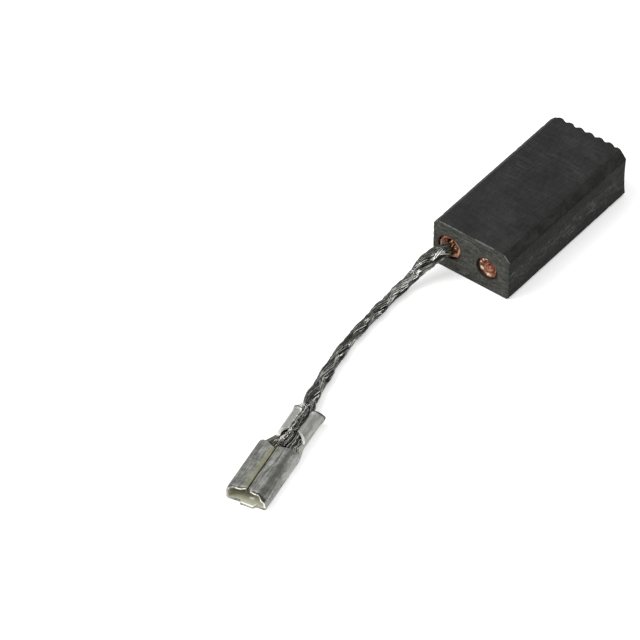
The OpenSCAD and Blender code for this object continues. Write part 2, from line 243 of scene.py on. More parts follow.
# %% A socket with operators
class Flow:
    """An output socket. An expression on it adds Math nodes to its material."""

    def __init__(self, look, made, socket):
        self.look, self.made, self.socket = look, made, socket

    def out(self, name):
        return Flow(self.look, self.made, self.made.outputs[name])

    def math(self, operation, *values):
        return self.look.node(
            "ShaderNodeMath", {"operation": operation}, dict(enumerate(values))
        )

    def __add__(self, other):
        return self.math("ADD", self, other)

    def __mul__(self, other):
        return self.math("MULTIPLY", self, other)

    def __sub__(self, other):
        return self.math("SUBTRACT", self, other)

    def __rsub__(self, other):
        return self.math("SUBTRACT", other, self)

    def __pow__(self, other):
        return self.math("POWER", self, other)

    def __abs__(self):
        return self.math("ABSOLUTE", self)

    __radd__, __rmul__ = __add__, __mul__

    def least(self, other):
        return self.math("MINIMUM", self, other)

    def most(self, other):
        return self.math("MAXIMUM", self, other)

    def reach(self, other):
        """Distance of the point (self, other) from (0, 0)."""
        return self.math("SQRT", self**2.0 + other**2.0)

    def shaken(self, noise, share):
        """This number, moved to both sides by a share of a noise."""
        return self + share * (noise - 0.5)


# %% A material that writes its nodes
class Look:
    """A material that is being written, round one Principled shader."""

    def __init__(self, name, **shader_values):
        self.material = bpy.data.materials.new(name)
        self.material.use_nodes = True
        self.tree = self.material.node_tree
        self.tree.nodes.clear()
        self.shader = self.tree.nodes.new("ShaderNodeBsdfPrincipled")
        output = self.tree.nodes.new("ShaderNodeOutputMaterial")
        self.tree.links.new(self.shader.outputs[0], output.inputs["Surface"])
        for socket, value in shader_values.items():
            self.shader.inputs[socket.replace("_", " ")].default_value = value

    def node(self, kind, settings=None, sockets=None, out=0):
        """Adds a node: its settings first, then a value or a link for each socket."""
        made = self.tree.nodes.new(kind)
        for key, value in (settings or {}).items():
            if key == "stops":
                ramp = made.color_ramp
                while len(ramp.elements) < len(value):
                    ramp.elements.new(0.5)
                for element, (place, colour) in zip(ramp.elements, value):
                    element.position, element.color = place, (*colour, 1)
            else:
                setattr(made, key, value)
        for key, value in (sockets or {}).items():
            if isinstance(value, Flow):
                self.tree.links.new(value.socket, made.inputs[key])
            else:
                made.inputs[key].default_value = value
        return Flow(self, made, made.outputs[out])

    def fed(self, **flows):
        """The material, once what varies over the surface is linked to the shader."""
        for socket, flow in flows.items():
            self.tree.links.new(flow.socket, self.shader.inputs[socket.replace("_", " ")])
        return self.material

    def place(self):
        """Object coordinates in millimetres."""
        spot = self.node("ShaderNodeTexCoord").out("Object")
        return self.node("ShaderNodeVectorMath", {"operation": "SCALE"}, {0: spot, "Scale": 1 / MM})

    def mark(self, name):
        """A number kept at each point of the mesh."""
        return self.node("ShaderNodeAttribute", {"attribute_name": name}).out("Fac")

    def facing(self):
        """The surface's own direction, as three numbers."""
        return self.split(self.node("ShaderNodeTexCoord").out("Normal"))

    def split(self, vector):
        parts = self.node("ShaderNodeSeparateXYZ", None, {0: vector})
        return parts.out("X"), parts.out("Y"), parts.out("Z")

    def noise(self, vector, scale, detail=3.0, roughness=0.55, distortion=0.0):
        return self.node("ShaderNodeTexNoise", None, {
            "Vector": vector, "Scale": scale, "Detail": detail,
            "Roughness": roughness, "Distortion": distortion,
        })

    def grain(self, vector, factors, **more):
        """Noise drawn out into streaks: a small factor is a long streak."""
        drawn_out = self.node(
            "ShaderNodeVectorMath", {"operation": "MULTIPLY"}, {0: vector, 1: factors}
        )
        return self.noise(drawn_out, 1.0, **more)

    def step(self, flow, low, high, start=0.0, end=1.0):
        """Runs smoothly from start at low to end at high."""
        return self.node("ShaderNodeMapRange", {"interpolation_type": "SMOOTHSTEP"}, {
            "Value": flow, "From Min": low, "From Max": high, "To Min": start, "To Max": end,
        })

    def fade(self, flow, low, high):
        """Runs smoothly from 1 at low to 0 at high."""
        return self.step(flow, low, high, 1.0, 0.0)

    def band(self, flow, low, full, fading, gone):
        """1 in a band and 0 outside it, with a smooth step on each side."""
        return self.step(flow, low, full) * self.fade(flow, fading, gone)

    def ramp(self, flow, *stops):
        """Colours that follow each other along a number: each stop is (place, colour)."""
        return self.node("ShaderNodeValToRGB", {"stops": stops}, {"Fac": flow})

    def blend(self, factor, first, second):
        first, second = (c if isinstance(c, Flow) else (*c, 1) for c in (first, second))
        return self.node(
            "ShaderNodeMix", {"data_type": "RGBA"}, {"Factor": factor, 6: first, 7: second}, out=2
        )

    def bump(self, height, distance, strength, under=None):
        sockets = {"Height": height, "Distance": distance * MM, "Strength": strength}
        if under is not None:
            sockets["Normal"] = under
        return self.node("ShaderNodeBump", None, sockets)


# %% [markdown]
# ## The braid's line
#
# The braid leaves the copper straight, falls to the table and bends to the
# terminal. Its points repeat the solid's route, except that the last lies 0.4 mm
# further on, just inside the receptacle. A Catmull-Rom curve passes through all of
# them without corners: each stretch is a cubic whose slope at a point is half the
# step from the point before to the point after.
#
# The terminal lies turned on the table, so its own directions, with the braid
# coming in from +y, are turned and moved to the brush's.

# %% The terminal's lengths and directions
CRIMP_SHIFT, SOCKET_END, NECK_L, CRIMP_L = 0.4, 5.95, 1.45, 3.3
CRIMP_START = SOCKET_END + NECK_L
CRIMP_END = CRIMP_START + CRIMP_L
# The solid braid lies on a flat of its eight sides, just clear of the sheet.
BRAID_Z = BRAID_D / 2 * math.cos(math.pi / BRAID_SIDES) + BRAID_CLEAR + SHEET_T


def on_terminal(points):
    """From the terminal's own directions to the brush's: turned about z, then shifted."""
    x, y, z = np.array(points, float).T
    cos, sin = math.cos(TERMINAL_TURN), math.sin(TERMINAL_TURN)
    return np.stack([
        x * cos - y * sin + TERMINAL_AT[0], x * sin + y * cos + TERMINAL_AT[1],
        z + TERMINAL_AT[2],
    ], axis=1)


print("the crimp ends at", np.round(on_terminal([[CRIMP_SHIFT, CRIMP_END, 0]])[0], 2).tolist())

# %% The braid's route, and a smooth line through it
STEP = 0.19

# Sideways from the hole, backwards from the rear face, and height
held = [[0, -BRAID_START, HOLE_Z], [0, -BRAID_START / 2, HOLE_Z], [0, -COPPER_RECESS, HOLE_Z]]
loose_run = [
    [0, 0.1, 2.45], [-0.3, 0.7, 2.4], [-0.68, 1.5, 2.15], [-1, 2.4, 1.7],
    [-1.2, 3.4, 1.15], [-1.35, 4.5, 0.8], [-1.42, 5.7, 0.65], [-1.38, 7, 0.6],
    [-1.28, 8.8, 0.6], [-1.15, 10.4, 0.6], [-1.03, 11.8, 0.6], [-0.84, 13.2, 0.6],
    [-0.57, 14.6, 0.6], [-0.27, 16, 0.6], [0.12, 17.4, 0.6], [0.5, 18.8, 0.65],
    [0.98, 20.2, 0.75],
]
gripped = on_terminal([
    [CRIMP_SHIFT, CRIMP_END, BRAID_Z], [CRIMP_SHIFT, CRIMP_END - CRIMP_L / 2, BRAID_Z],
    [CRIMP_SHIFT, CRIMP_START, BRAID_Z], [CRIMP_SHIFT / 2, CRIMP_START - NECK_L / 2, BRAID_Z],
    [0, SOCKET_END - 0.1, BRAID_Z],
])
route = np.concatenate([
    np.array(held + loose_run) * (1, -1, 1) + (WIRE_HOLE_X, REAR_Y, 0), gripped,
])


def smooth_line(points, steps):
    """Catmull-Rom curve through the points, with the same number of steps in each stretch."""
    before = np.vstack([2 * points[0] - points[1], points[:-1]])
    after = np.vstack([points[1:], 2 * points[-1] - points[-2]])
    slope = (after - before) / 2
    t = (np.arange(steps) / steps)[None, :, None]
    a, b = points[:-1, None], points[1:, None]
    slope_a, slope_b = slope[:-1, None], slope[1:, None]
    curve = (
        (2 * t**3 - 3 * t**2 + 1) * a + (t**3 - 2 * t**2 + t) * slope_a
        + (3 * t**2 - 2 * t**3) * b + (t**3 - t**2) * slope_b
    )
    return np.vstack([curve.reshape(-1, 3), points[-1:]])


def even_line(points, gap):
    """The same line with points a fixed gap apart, and the distance run at each."""
    run = np.concatenate([[0], np.cumsum(np.linalg.norm(np.diff(points, axis=0), axis=1))])
    at = np.linspace(0, run[-1], int(round(run[-1] / gap)) + 1)
    return np.stack([np.interp(at, run, points[:, k]) for k in range(3)], axis=1), at


def run_at(point):
    """Distance run along the braid at the point of its line that is nearest to a given one."""
    return float(run[np.argmin(np.linalg.norm(line - point, axis=1))])


line, run = even_line(smooth_line(route, 16), STEP)
ahead = unit(np.gradient(line, axis=0))
across = unit(np.cross([0, 0, 1], ahead))
above = np.cross(ahead, across)
rear_run = float(np.interp(-REAR_Y, -line[:, 1], run))
crimp_run, neck_run = run_at(gripped[0]), run_at(gripped[2])
print(
    f"braid: {run[-1]:.1f} mm long, leaves the block at {rear_run:.1f}, "
    f"enters the crimp at {crimp_run:.1f}"
)

# %% [markdown]
# ## The braid's wires
#
# A brush's lead is plaited from bundles of fine wires. Half of the bundles climb
# round the cord one way and half the other, and they pass over and under each
# other. A twisted rod with a woven bump would be lighter to draw, but the single
# wires show at this size, so each of them is a line of its own.
#
# A bundle is a helix whose radius rises and falls: angle = turns * distance,
# radius = R + A * a wave of n * angle. All bundles of one direction rise together
# while those of the other direction dip.

# %% Angle and radius of each wire in the plait
BUNDLES, WIRES_EACH, WIRE_R = 4, 11, 0.033
LAY, WEAVE, BUNDLE_SPREAD = 12.0, 0.045, 0.64

bundle = np.repeat(np.arange(BUNDLES), WIRES_EACH)[:, None]
in_bundle = np.tile(np.linspace(-1, 1, WIRES_EACH), BUNDLES)[:, None]

# Half the braid's thickness at distances from the block's rear face
swelling = np.array([
    [-3.2, 0.55], [-0.4, 0.55], [0.3, 0.63], [1.5, 0.79], [2.4, 0.72], [3.6, 0.6], [5, 0.53],
    [9, 0.51], [12, 0.49], [15, 0.53], [18, 0.57], [20, 0.6], [22, 0.62],
])
braid_half = np.interp(run - rear_run, *swelling.T)


def drawn(draw, count, *ranges):
    """A column of random numbers for each range (low, high), with one for each wire."""
    return [draw.uniform(low, high, (count, 1)) for low, high in ranges]


def plait(direction):
    """Angle and radius of the wires of one direction (1 or -1), as arrays of wires by steps.

    angle = direction * climb + the bundle's start + the wire's place in the bundle,
    radius = half the braid + a wave with flat tops, up where the other direction is down.
    """
    draw = np.random.default_rng(7 if direction > 0 else 8)
    own = draw.uniform(-1, 1, bundle.shape)
    climb = 2 * np.pi * run[None, :] / LAY
    wander = 0.07 * ripple(run[None, :] * 1.3 + 9 * own, 3)
    angle = (
        direction * climb + 2 * np.pi * bundle / BUNDLES
        + in_bundle * (BUNDLE_SPREAD + 0.1 * wander) + 0.05 * own + wander
    )
    over_under = direction * (0.8 + np.tanh(2.5 * np.cos(BUNDLES * climb))) - 0.8
    loose = 0.02 * ripple(run[None, :] * 1.5 + 11 * own, 4)
    radius = braid_half - WIRE_R - WEAVE + WEAVE * over_under - 0.05 * in_bundle**2 + loose
    return angle, radius


print(f"{2 * BUNDLES} bundles of {WIRES_EACH} wires, one turn in {LAY} mm")

# %% [markdown]
# Inside the crimp the plait is squeezed flat, and past it the wires stand free and
# fan out. So each wire gets a second place, in a flat bundle, and blends to it from
# its place in the plait. It keeps its side of the cord: sideways it is depth *
# cos(angle) and upwards depth * sin(angle). Some wires rise into the gap between
# the wings, and a few are propped up by the left wing.

# %% Places in the crimp and past it
SQUEEZED_HALF_W, SQUEEZED_HALF_H = 0.9, 0.53
GAP_HALF_W, GAP_RISE = 0.6, 0.75


def in_crimp(angle, seed):
    """Offsets (sideways, up) of the wires in the crimp, from their angles in the plait."""
    draw = np.random.default_rng(seed)
    own_angle = angle[:, np.argmin(np.abs(run - crimp_run))][:, None]
    own_angle = own_angle + draw.uniform(-0.7, 0.7, own_angle.shape)
    depth = np.sqrt(draw.uniform(0.1, 1, own_angle.shape))
    side = depth * np.cos(own_angle) * SQUEEZED_HALF_W
    rise = depth * np.sin(own_angle) * SQUEEZED_HALF_H
    under_gap = np.clip(1 - (side / GAP_HALF_W) ** 2, 0, 1) * ease(-0.3, 0.4, rise)
    through_gap = GAP_RISE * under_gap * draw.uniform(0.45, 1, rise.shape)
    shake = 0.07 * ripple(run[None, :] * 2.2 + 20 * draw.uniform(-1, 1, rise.shape), seed)
    fan = ease(neck_run - 0.8, run[-1], run)[None, :]
    splay = side * (1 + (0.55 + 0.35 * (side > 0)) * fan)
    splay = splay + 0.15 * draw.uniform(-1, 1, side.shape) * fan
    propped = 0.34 * ease(0.0, 0.4, -side) * hump(run, neck_run - 0.85, 0.6)
    height = (1 - 0.5 * fan) * (rise + through_gap) + 0.05 * fan + propped
    return splay + shake, height + 0.5 * shake


# %% [markdown]
# Each wire also has a shade, because a real bundle shows single wires by their
# different glints. Painted shade darkens the wires at a bundle's sides and those
# turned away from the camera. Painted glints, short and coming with a beat,
# brighten the wires near the top, and beside each glint lies a line of painted
# shade. Down in the hole every wire is darker, and has no painted glints.

# %% Shades of the wires, and all wires together
# The angle round the cord that faces the camera: painted light is strongest there, and the painted
# glints lie beside it.
PAINTED_LIGHT_AT, GLINT_BEAT = math.radians(57), 2.4


def plait_shade(angle, own, direction):
    """Shades in the plait: a wire's own shade times painted shade, plus painted glints."""
    strand = 0.57 + 0.08 * ripple(0.8 * run + 5 * bundle, 60 + direction) + 0.32 * own
    # Painted shade: wires turned away from the camera are darker.
    painted_facing_light = 0.75 + 0.25 * np.clip(np.cos(angle - PAINTED_LIGHT_AT), 0, 1)
    # Painted shade at each bundle's sides.
    side_shade = ease(0.75, 1.0, np.abs(in_bundle))
    beat = np.cos(2 * np.pi * run / GLINT_BEAT + 1.3 * ripple(0.5 * run, 70)) + 0.25 * own
    beat = ease(-0.3, 0.3, beat)
    beside = angle - PAINTED_LIGHT_AT - 0.012 * (run - rear_run) + 0.38 + 0.3 * ripple(0.7 * run, 71)
    # Painted glints, and beside each one a line of painted shade.
    glint = beat * ease(0.93, 0.985, np.cos(beside)) * ease(-0.6, 0.2, own)
    furrow_shade = beat * ease(0.94, 0.99, np.cos(beside + 0.55))
    # Past the rear face. Inside the hole every wire is darker and gets no painted glints.
    outside = ease(rear_run - 0.3, rear_run + 0.8, run)
    level = strand * (1 - 0.4 * side_shade) * (1 - 0.8 * furrow_shade) * painted_facing_light + 1.1 * glint * outside
    return level * (0.6 + 0.4 * outside)


def wires():
    """Offsets sideways and up, and shades, of all wires: a blend of plait and crimp."""
    squeezed = ease(crimp_run - 1.2, crimp_run + 0.7, run)
    both = []
    for direction in (1, -1):
        angle, radius = plait(direction)
        flat_side, flat_rise = in_crimp(angle, 21 + direction)
        draw = np.random.default_rng(11 + direction)
        own, loose = drawn(draw, len(angle), (-1, 1), (0.15, 1.1))
        # Painted shade on the wires under the left wing, inside the crimp.
        shade_by_left_wing = ease(0.05, 0.4, -flat_side) * (1 - ease(neck_run, neck_run + 0.7, run))
        plaited = np.stack([
            radius * np.cos(angle), radius * np.sin(angle), plait_shade(angle, own, direction),
        ])
        flat = np.stack([flat_side, flat_rise, loose * (1 - 0.4 * shade_by_left_wing)])
        both.append(plaited * (1 - squeezed) + flat * squeezed)
    return np.concatenate(both, axis=1)


side, rise, shade = wires()
side = side - 0.03 - 0.2 * hump(run, crimp_run - 0.5, 1.0)
print(f"{side.shape[0]} wires with {side.shape[1]} points each")

# %% [markdown]
# A wire is a tube along its path. Each ring stands across the path, in the two
# directions that are square to it, and five sides are enough for so thin a wire.
# The plaited wires don't all end at the same length, so the faces past each
# wire's own end are left out, and its last ring narrows.

# %% Tubes along the plaited wires
# No wire comes lower than LOWEST over the table.
TUBE_SIDES, LOWEST, LONGEST_CUT = 5, 0.015, 0.7


def tubes(paths, radius):
    """Tubes round paths (wires, steps, 3): centre + r (cos a * beside + sin a * over)."""
    way = unit(np.gradient(paths, axis=1))
    beside = unit(np.cross([0.0, 0.0, 1.0], way))
    over = np.cross(way, beside)
    turn = 2 * np.pi * (np.arange(TUBE_SIDES) + 0.5) / TUBE_SIDES
    ring = np.cos(turn)[:, None] * beside[:, :, None] + np.sin(turn)[:, None] * over[:, :, None]
    points = paths[:, :, None] + radius[..., None, None] * ring
    points[..., 2] = np.maximum(points[..., 2], LOWEST)
    count, steps, _ = paths.shape
    faces = grid_faces(steps, TUBE_SIDES, ring=True)
    return points, faces[None] + (np.arange(count) * steps * TUBE_SIDES)[:, None, None]


paths = line + side[..., None] * across + rise[..., None] * above
ends = run[-1] - np.random.default_rng(5).uniform(0, LONGEST_CUT, len(paths))
left = ends[:, None] - run
wire_tubes, wire_faces = tubes(paths, WIRE_R * np.where((left > 0.2) & (run > 0), 1.0, 0.3))
wire_faces = wire_faces[(left > 0)[:, wire_faces[0, :, 0] // TUBE_SIDES]]
print(f"plaited wires: {len(wire_faces)} faces, ends cut up to {LONGEST_CUT} mm short")

# %% [markdown]
# A few wires broke when the braid was pushed into the crimp and stick out beside
# it. In the block's hole, loose ones lie round the braid where it was tamped: each
# comes up beside the copper, on a narrowing turn, and bends into the braid.

# %% Stray wires, loose wires in the hole, and a dark tube of painted shade inside the plait
STRAYS, STRAY_R = 5, 0.03
LOOSE_IN_HOLE, LOOSE_R = 28, 0.045
SHADOW_CORE_SIDES = 14


def stray_wires(count, steps=14):
    """Paths that start at the crimp's rear end and curl away, each on a parabola."""
    t = np.linspace(0, 1, steps)
    start, reach, lift = drawn(
        np.random.default_rng(17), count, (-0.1, 0.5), (0.5, 1.1), (0.1, 0.5)
    )
    x = CRIMP_SHIFT - 0.35 - reach * t**1.5
    y = CRIMP_END + 0.1 + start + 0.35 * t - 0.3 * t**2
    z = BRAID_Z + 0.35 + lift * t - 0.1 * t**2
    return on_terminal(np.stack([x, y, z], axis=-1).reshape(-1, 3)).reshape(count, steps, 3)


def wires_in_hole(count, steps=12):
    """Paths out of the hole: x and z on a turn about its middle that narrows as t^3."""
    t = np.linspace(0, 1, steps)
    turn, wide, twist, reach = drawn(
        np.random.default_rng(29), count, (-0.5, 1.35), (0.5, 0.8), (-0.8, 0.8), (0.5, 1.1)
    )
    angle = turn + twist * t + 0.1 * np.sin(9 * t + 20 * wide)
    r = wide * (1 - 0.3 * t**3)
    x = WIRE_MOUTH[0] + r * np.cos(angle) - 0.25 * t**2
    z = WIRE_MOUTH[1] + r * np.sin(angle) - 0.2 * t**2
    return np.stack([x, REAR_Y + 0.6 - reach * t, z], axis=-1)


strays, bent = stray_wires(STRAYS), wires_in_hole(LOOSE_IN_HOLE)
stray_tubes, stray_faces = tubes(strays, np.full(strays.shape[:2], STRAY_R))
bent_tubes, bent_faces = tubes(bent, np.full(bent.shape[:2], LOOSE_R))
bent_shade = np.random.default_rng(31).uniform(0.1, 1.1, len(bent))

# A dark tube at the lowest shade fills the plait's inside: painted shade between the wires, where
# the plait would otherwise show through.
shadow_core_share = np.interp(run, [0, crimp_run - 0.8, crimp_run + 0.3, run[-1]], [0.7, 0.7, 0.15, 0.02])
shadow_core_turn = 2 * np.pi * np.arange(SHADOW_CORE_SIDES) / SHADOW_CORE_SIDES
shadow_core_half = (braid_half * shadow_core_share)[:, None, None]
shadow_core = line[:, None] + shadow_core_half * (
    np.cos(shadow_core_turn)[:, None] * across[:, None] + np.sin(shadow_core_turn)[:, None] * above[:, None]
)
print(f"{STRAYS} stray wires, {LOOSE_IN_HOLE} loose ones in the hole, one core under the plait")

# %% [markdown]
# ## The braid's finish
#
# The wires are copper under a thin coat of tin that has gone dull. The material is
# a metal: its colour is what it reflects, and the lamps make some glints, while
# the painted glints and painted shade come in with each wire's shade. Its ramp
# turns a wire's shade into a grey, with a little noise along the wire. Inside the
# hole the tin is gone, so there the ramp gives way to copper and gold.

# %% Dull tinned wire
def tinned_wire():
    look = Look("dull_tinned_wire", Metallic=1.0)
    spots = look.noise(look.place(), 1.8, detail=2.0)
    level = look.mark("wire_shade") * (0.7 + 0.6 * spots)
    tinned = look.ramp(
        level, (0.05, (0.013, 0.014, 0.011)), (0.3, (0.075, 0.078, 0.068)),
        (0.62, (0.2, 0.204, 0.187)), (1.0, (0.95, 0.95, 0.92)),
    )
    golden = look.blend(look.step(level, 0.6, 0.95), (0.28, 0.15, 0.07), (0.75, 0.6, 0.4))
    in_hole = look.fade(look.mark("from_block").shaken(spots, 0.8), -0.1, 0.4)
    colour = look.blend(in_hole * look.step(level, 0.1, 0.3), tinned, golden)
    return look.fed(Base_Color=colour, Roughness=0.36 - 0.2 * spots)


# %% The braid, as one mesh
PAST_THE_TINT, IN_THE_HOLE = 20.0, -1.0

from_block = (run - rear_run)[None, :, None]
# Points, faces, distance from the block, shade
threads = [
    (wire_tubes, wire_faces, from_block, shade[..., None]),
    (stray_tubes, stray_faces, PAST_THE_TINT, 1.0),
    (bent_tubes, bent_faces, IN_THE_HOLE, bent_shade[:, None, None]),
    (shadow_core[None], grid_faces(len(run), SHADOW_CORE_SIDES, ring=True), from_block, 0.0),
]


def at_each_point(column):
    """One column of the table of threads, as a number for each point."""
    return np.concatenate([
        np.broadcast_to(row[column], row[0].shape[:-1]).ravel() for row in threads
    ])


braid_mesh = mesh_of(
    "braid", [(points.reshape(-1, 3), faces.reshape(-1, 4)) for points, faces, *_ in threads],
    merge=0, outwards=False, from_block=at_each_point(2), wire_shade=at_each_point(3),
)
braid = piece("braid", braid_mesh, tinned_wire(), "shunt_wire")

# %% [markdown]
# ## The terminal, as one bent sheet
#
# The real terminal is cut flat and then bent, so its surface is worked out the
# same way. Across the sheet, the section is a chain of straight stretches and
# arcs, each given by its length and by how far it turns. Adding up the turns gives
# the direction at any distance from the floor's middle, and adding up the
# directions gives the place. Along the sheet, the chain changes from the
# receptacle's to the crimp's.
#
# The blank is an I: wide at the receptacle, narrow at the neck, wide at the crimp.
# The faces between are left out, and Solidify gives the sheet its thickness. Its
# rim is another material, since a cut edge is brighter than a rolled face.

# %% The section's chain, and the bending
FLOOR_TO_NECK, BEND_STEPS = 0.3, 240

# Floor, corner, wall, shoulder, top, turned-down edge, lip: length, degrees turned
receptacle_chain = np.array([
    [1.45, 0], [0.393, 90], [0.45, 0], [0.73, 85], [0.99, 7], [0.13, 84], [0.38, 4],
])
# Floor, corner, wall, wing, its tip: length, degrees turned
crimp_chain = np.array([
    [0.46, 0], [1.021, 90], [0.33, 0], [0.74, 90], [0.25, 16], [0.0, 0], [0.0, 0],
])


def bend(chain, u):
    """Places (x, z) on each row's section at distances u from the floor's middle.

    direction(s) = the sum over the chain of turn * the share of the stretch that s has
    passed, x = the sum of cos(direction) ds, z = the sum of sin(direction) ds.
    """
    length, turn = chain[..., 0], np.radians(chain[..., 1])
    start = np.cumsum(length, axis=1) - length
    fine = np.linspace(0, 1, BEND_STEPS + 1)[None, :] * u.max(axis=1, keepdims=True)
    into = np.clip(fine[:, :, None] - start[:, None, :], 0, length[:, None, :])
    share = into / np.maximum(length, 1e-6)[:, None, :]
    direction = (share * turn[:, None, :]).sum(-1)
    middle = (direction[:, 1:] + direction[:, :-1]) / 2
    moves = np.diff(fine, axis=1) * np.stack([np.cos(middle), np.sin(middle)])
    places = np.pad(np.cumsum(moves, axis=2), ((0, 0), (0, 0), (1, 0)))
    at = np.clip(u / fine[:, -1:] * BEND_STEPS, 0, BEND_STEPS - 0.001)
    low = at.astype(int)
    rows = np.arange(len(u))[:, None]
    return places[:, rows, low] * (1 - at + low) + places[:, rows, low + 1] * (at - low)


for name, chain in (("receptacle", receptacle_chain), ("crimp", crimp_chain)):
    print(f"{name}: {chain[:, 0].sum():.2f} mm a side, turned {chain[:, 1].sum():.0f} degrees")

# %% [markdown]
# Two numbers place a point on the blank: its distance y along the sheet and its
# distance u from the middle of the floor. The wings begin at the root of the walls,
# and their share runs from 0 there to 1 at their free edge, so all rows have the
# same number of points.

# %% The blank, bent
along = np.unique(np.concatenate([
    np.linspace(0, SOCKET_END, 60), np.linspace(SOCKET_END, CRIMP_START, 17),
    np.linspace(CRIMP_START, CRIMP_END, 36),
]))
narrowing = ease(SOCKET_END - 0.15, CRIMP_START + 0.1, along)[:, None]
chains = receptacle_chain + (crimp_chain - receptacle_chain) * narrowing[..., None]
root = chains[:, :2, 0].sum(1)[:, None] + FLOOR_TO_NECK
whole = chains[..., 0].sum(1)[:, None]
floor_share, wing_share = np.linspace(0, 1, 31), np.linspace(0, 1, 34)[1:]
u = np.hstack([root * floor_share, root + (whole - root) * wing_share])
y = np.repeat(along[:, None], u.shape[1], axis=1)
half_x, half_z = bend(chains, u)
wing_t = np.clip((u - root) / (whole - root), 0, 1)
print("the blank is", round(float(whole[0, 0] * 2), 2), "mm wide at the receptacle")

# %% [markdown]
# No bent sheet comes out quite straight. The press leaves the rolls longer at the
# mouth and apart at the rear, bulges the walls, and cuts the wings at a slope. Each
# of these is a shift of the points along y or x, strongest at its own edge. The two
# halves differ, as they do on a real terminal. The crimp's rear end opens in a bell,
# and the floor has a dimple that locks the tab.

# %% The two halves of the sheet
BELL_FLARE, BELL_L = 0.1, 0.6
TONGUE_L, SHEET_SHIFT = 0.25, 0.05
DIMPLE_H, DIMPLE_R = 0.15, 0.5

is_socket = y <= SOCKET_END + 1e-6
is_crimp = y >= CRIMP_START - 1e-6
near_mouth = near(y, 1.4)
near_rear = near(SOCKET_END - y, 1.2) * is_socket
crimp_front = near(y - CRIMP_START, 1.3) * is_crimp
crimp_rear = near(CRIMP_END - y, 1.2) * is_crimp
mouth_edge = 0.03 * ease(0.8, 1.5, u) + 0.03 * ease(2.4, 2.8, u) + 0.34 * ease(0.45, 1.0, wing_t)
bell = BELL_FLARE * ease(CRIMP_END - BELL_L, CRIMP_END, y)


def half_sheet(sign):
    """One half, from its floor's middle to its free edge, as a grid of points.

    x = sign * the section's x, y = the distance along + the shifts near each edge,
    z = the section's z + the bell + the dimple, a smooth step of the distance from its middle.
    """
    right = sign > 0
    seam_back, belly, tongue_half = (0.3, 0.15, 0.8) if right else (0.62, 0.18, 0.5)
    uneven = (0.012 + 0.04 * ease(2.2, 2.8, u)) * ripple(u * sign, 31, 2, 8)
    bulge = -belly * hump(u, 2.15, 0.5) - 0.25 * right * hump(u, 2.7, 0.35)
    tongue = TONGUE_L * (1 - ease(tongue_half - 0.08, tongue_half, u))
    slope_back = 0.5 * wing_t**1.2 * crimp_front - 0.3 * wing_t * crimp_rear
    yy = y + (mouth_edge + bulge - tongue + uneven) * near_mouth + slope_back
    yy = yy - seam_back * ease(0.35, 1, wing_t) * near_rear
    yy = yy + 0.4 * right * hump(u, 1.4, 0.5) * crimp_rear
    wander = 0.03 * ripple(yy * 1.3, 41 + sign, 0.6, 2.5) * ease(0.1, 1, wing_t) * is_crimp
    xx = sign * (half_x + bell * ease(0.3, 1.0, u)) - SHEET_SHIFT
    xx = xx - 0.1 * right * ease(0.5, 0.9, wing_t) * is_socket + CRIMP_SHIFT * narrowing + wander
    dimple = DIMPLE_H * (1 - ease(0.22, DIMPLE_R, np.hypot(xx, yy - SOCKET_END / 2)))
    zz = half_z + SHEET_T / 2 + bell * wing_t + dimple * (u < 1.2)
    return on_terminal(np.stack([xx, yy, zz], axis=-1).reshape(-1, 3))


def sheet_faces(sign):
    """Faces of one half. Those of the rolls and wings stop at the neck."""
    rows, columns = u.shape
    faces = grid_faces(rows, columns)
    row, column = faces[:, 0] // columns, faces[:, 0] % columns
    in_neck = (along[row] >= SOCKET_END - 1e-6) & (along[row] < CRIMP_START - 1e-6)
    kept = faces[~(in_neck & (column >= len(floor_share) - 1))]
    return kept if sign > 0 else kept[:, ::-1]


terminal_mesh = mesh_of(
    "terminal_sheet", [(half_sheet(sign), sheet_faces(sign)) for sign in (1, -1)],
    merge=2e-3, outwards=False, from_mouth=np.tile(y.ravel(), 2),
    from_tip=np.tile((whole - u).ravel(), 2), from_middle=np.tile(u.ravel(), 2),
)
print(f"the bent sheet has {len(terminal_mesh.vertices)} points")

# %% [markdown]
# ## The terminal's three finishes
#
# The sheet shows three faces: the rolled tin plate outside, the inner face, and
# the cut edge all round. Positions are needed in the terminal's own directions, so
# a Mapping node turns the coordinates back.
#
# Tin plate is a satin metal with faint lines along the rolling direction. By the
# seam the plating is thin and the brass below gives it a warm tint. Painted shade
# darkens the outer shoulder of each roll, the right one more. The crimp is
# cleaner, but its right side is smeared. Painted shade also draws dark lines
# behind the mouth's rim, at the seam, at the crimp's rear end and at the right
# wing's tip, and the die leaves a dark line along the right wing. The left wing's
# tip gets painted glints.

# %% Tin plate
def terminal_place(look):
    """Object coordinates in millimetres, turned and moved to the terminal's own directions."""
    cos, sin = math.cos(TERMINAL_TURN), math.sin(TERMINAL_TURN)
    x0, y0, _ = TERMINAL_AT
    back = (-(x0 * cos + y0 * sin), x0 * sin - y0 * cos, 0.0)
    return look.node("ShaderNodeMapping", {"vector_type": "POINT"}, {
        "Vector": look.place(), "Location": back, "Rotation": (0, 0, -TERMINAL_TURN),
    })


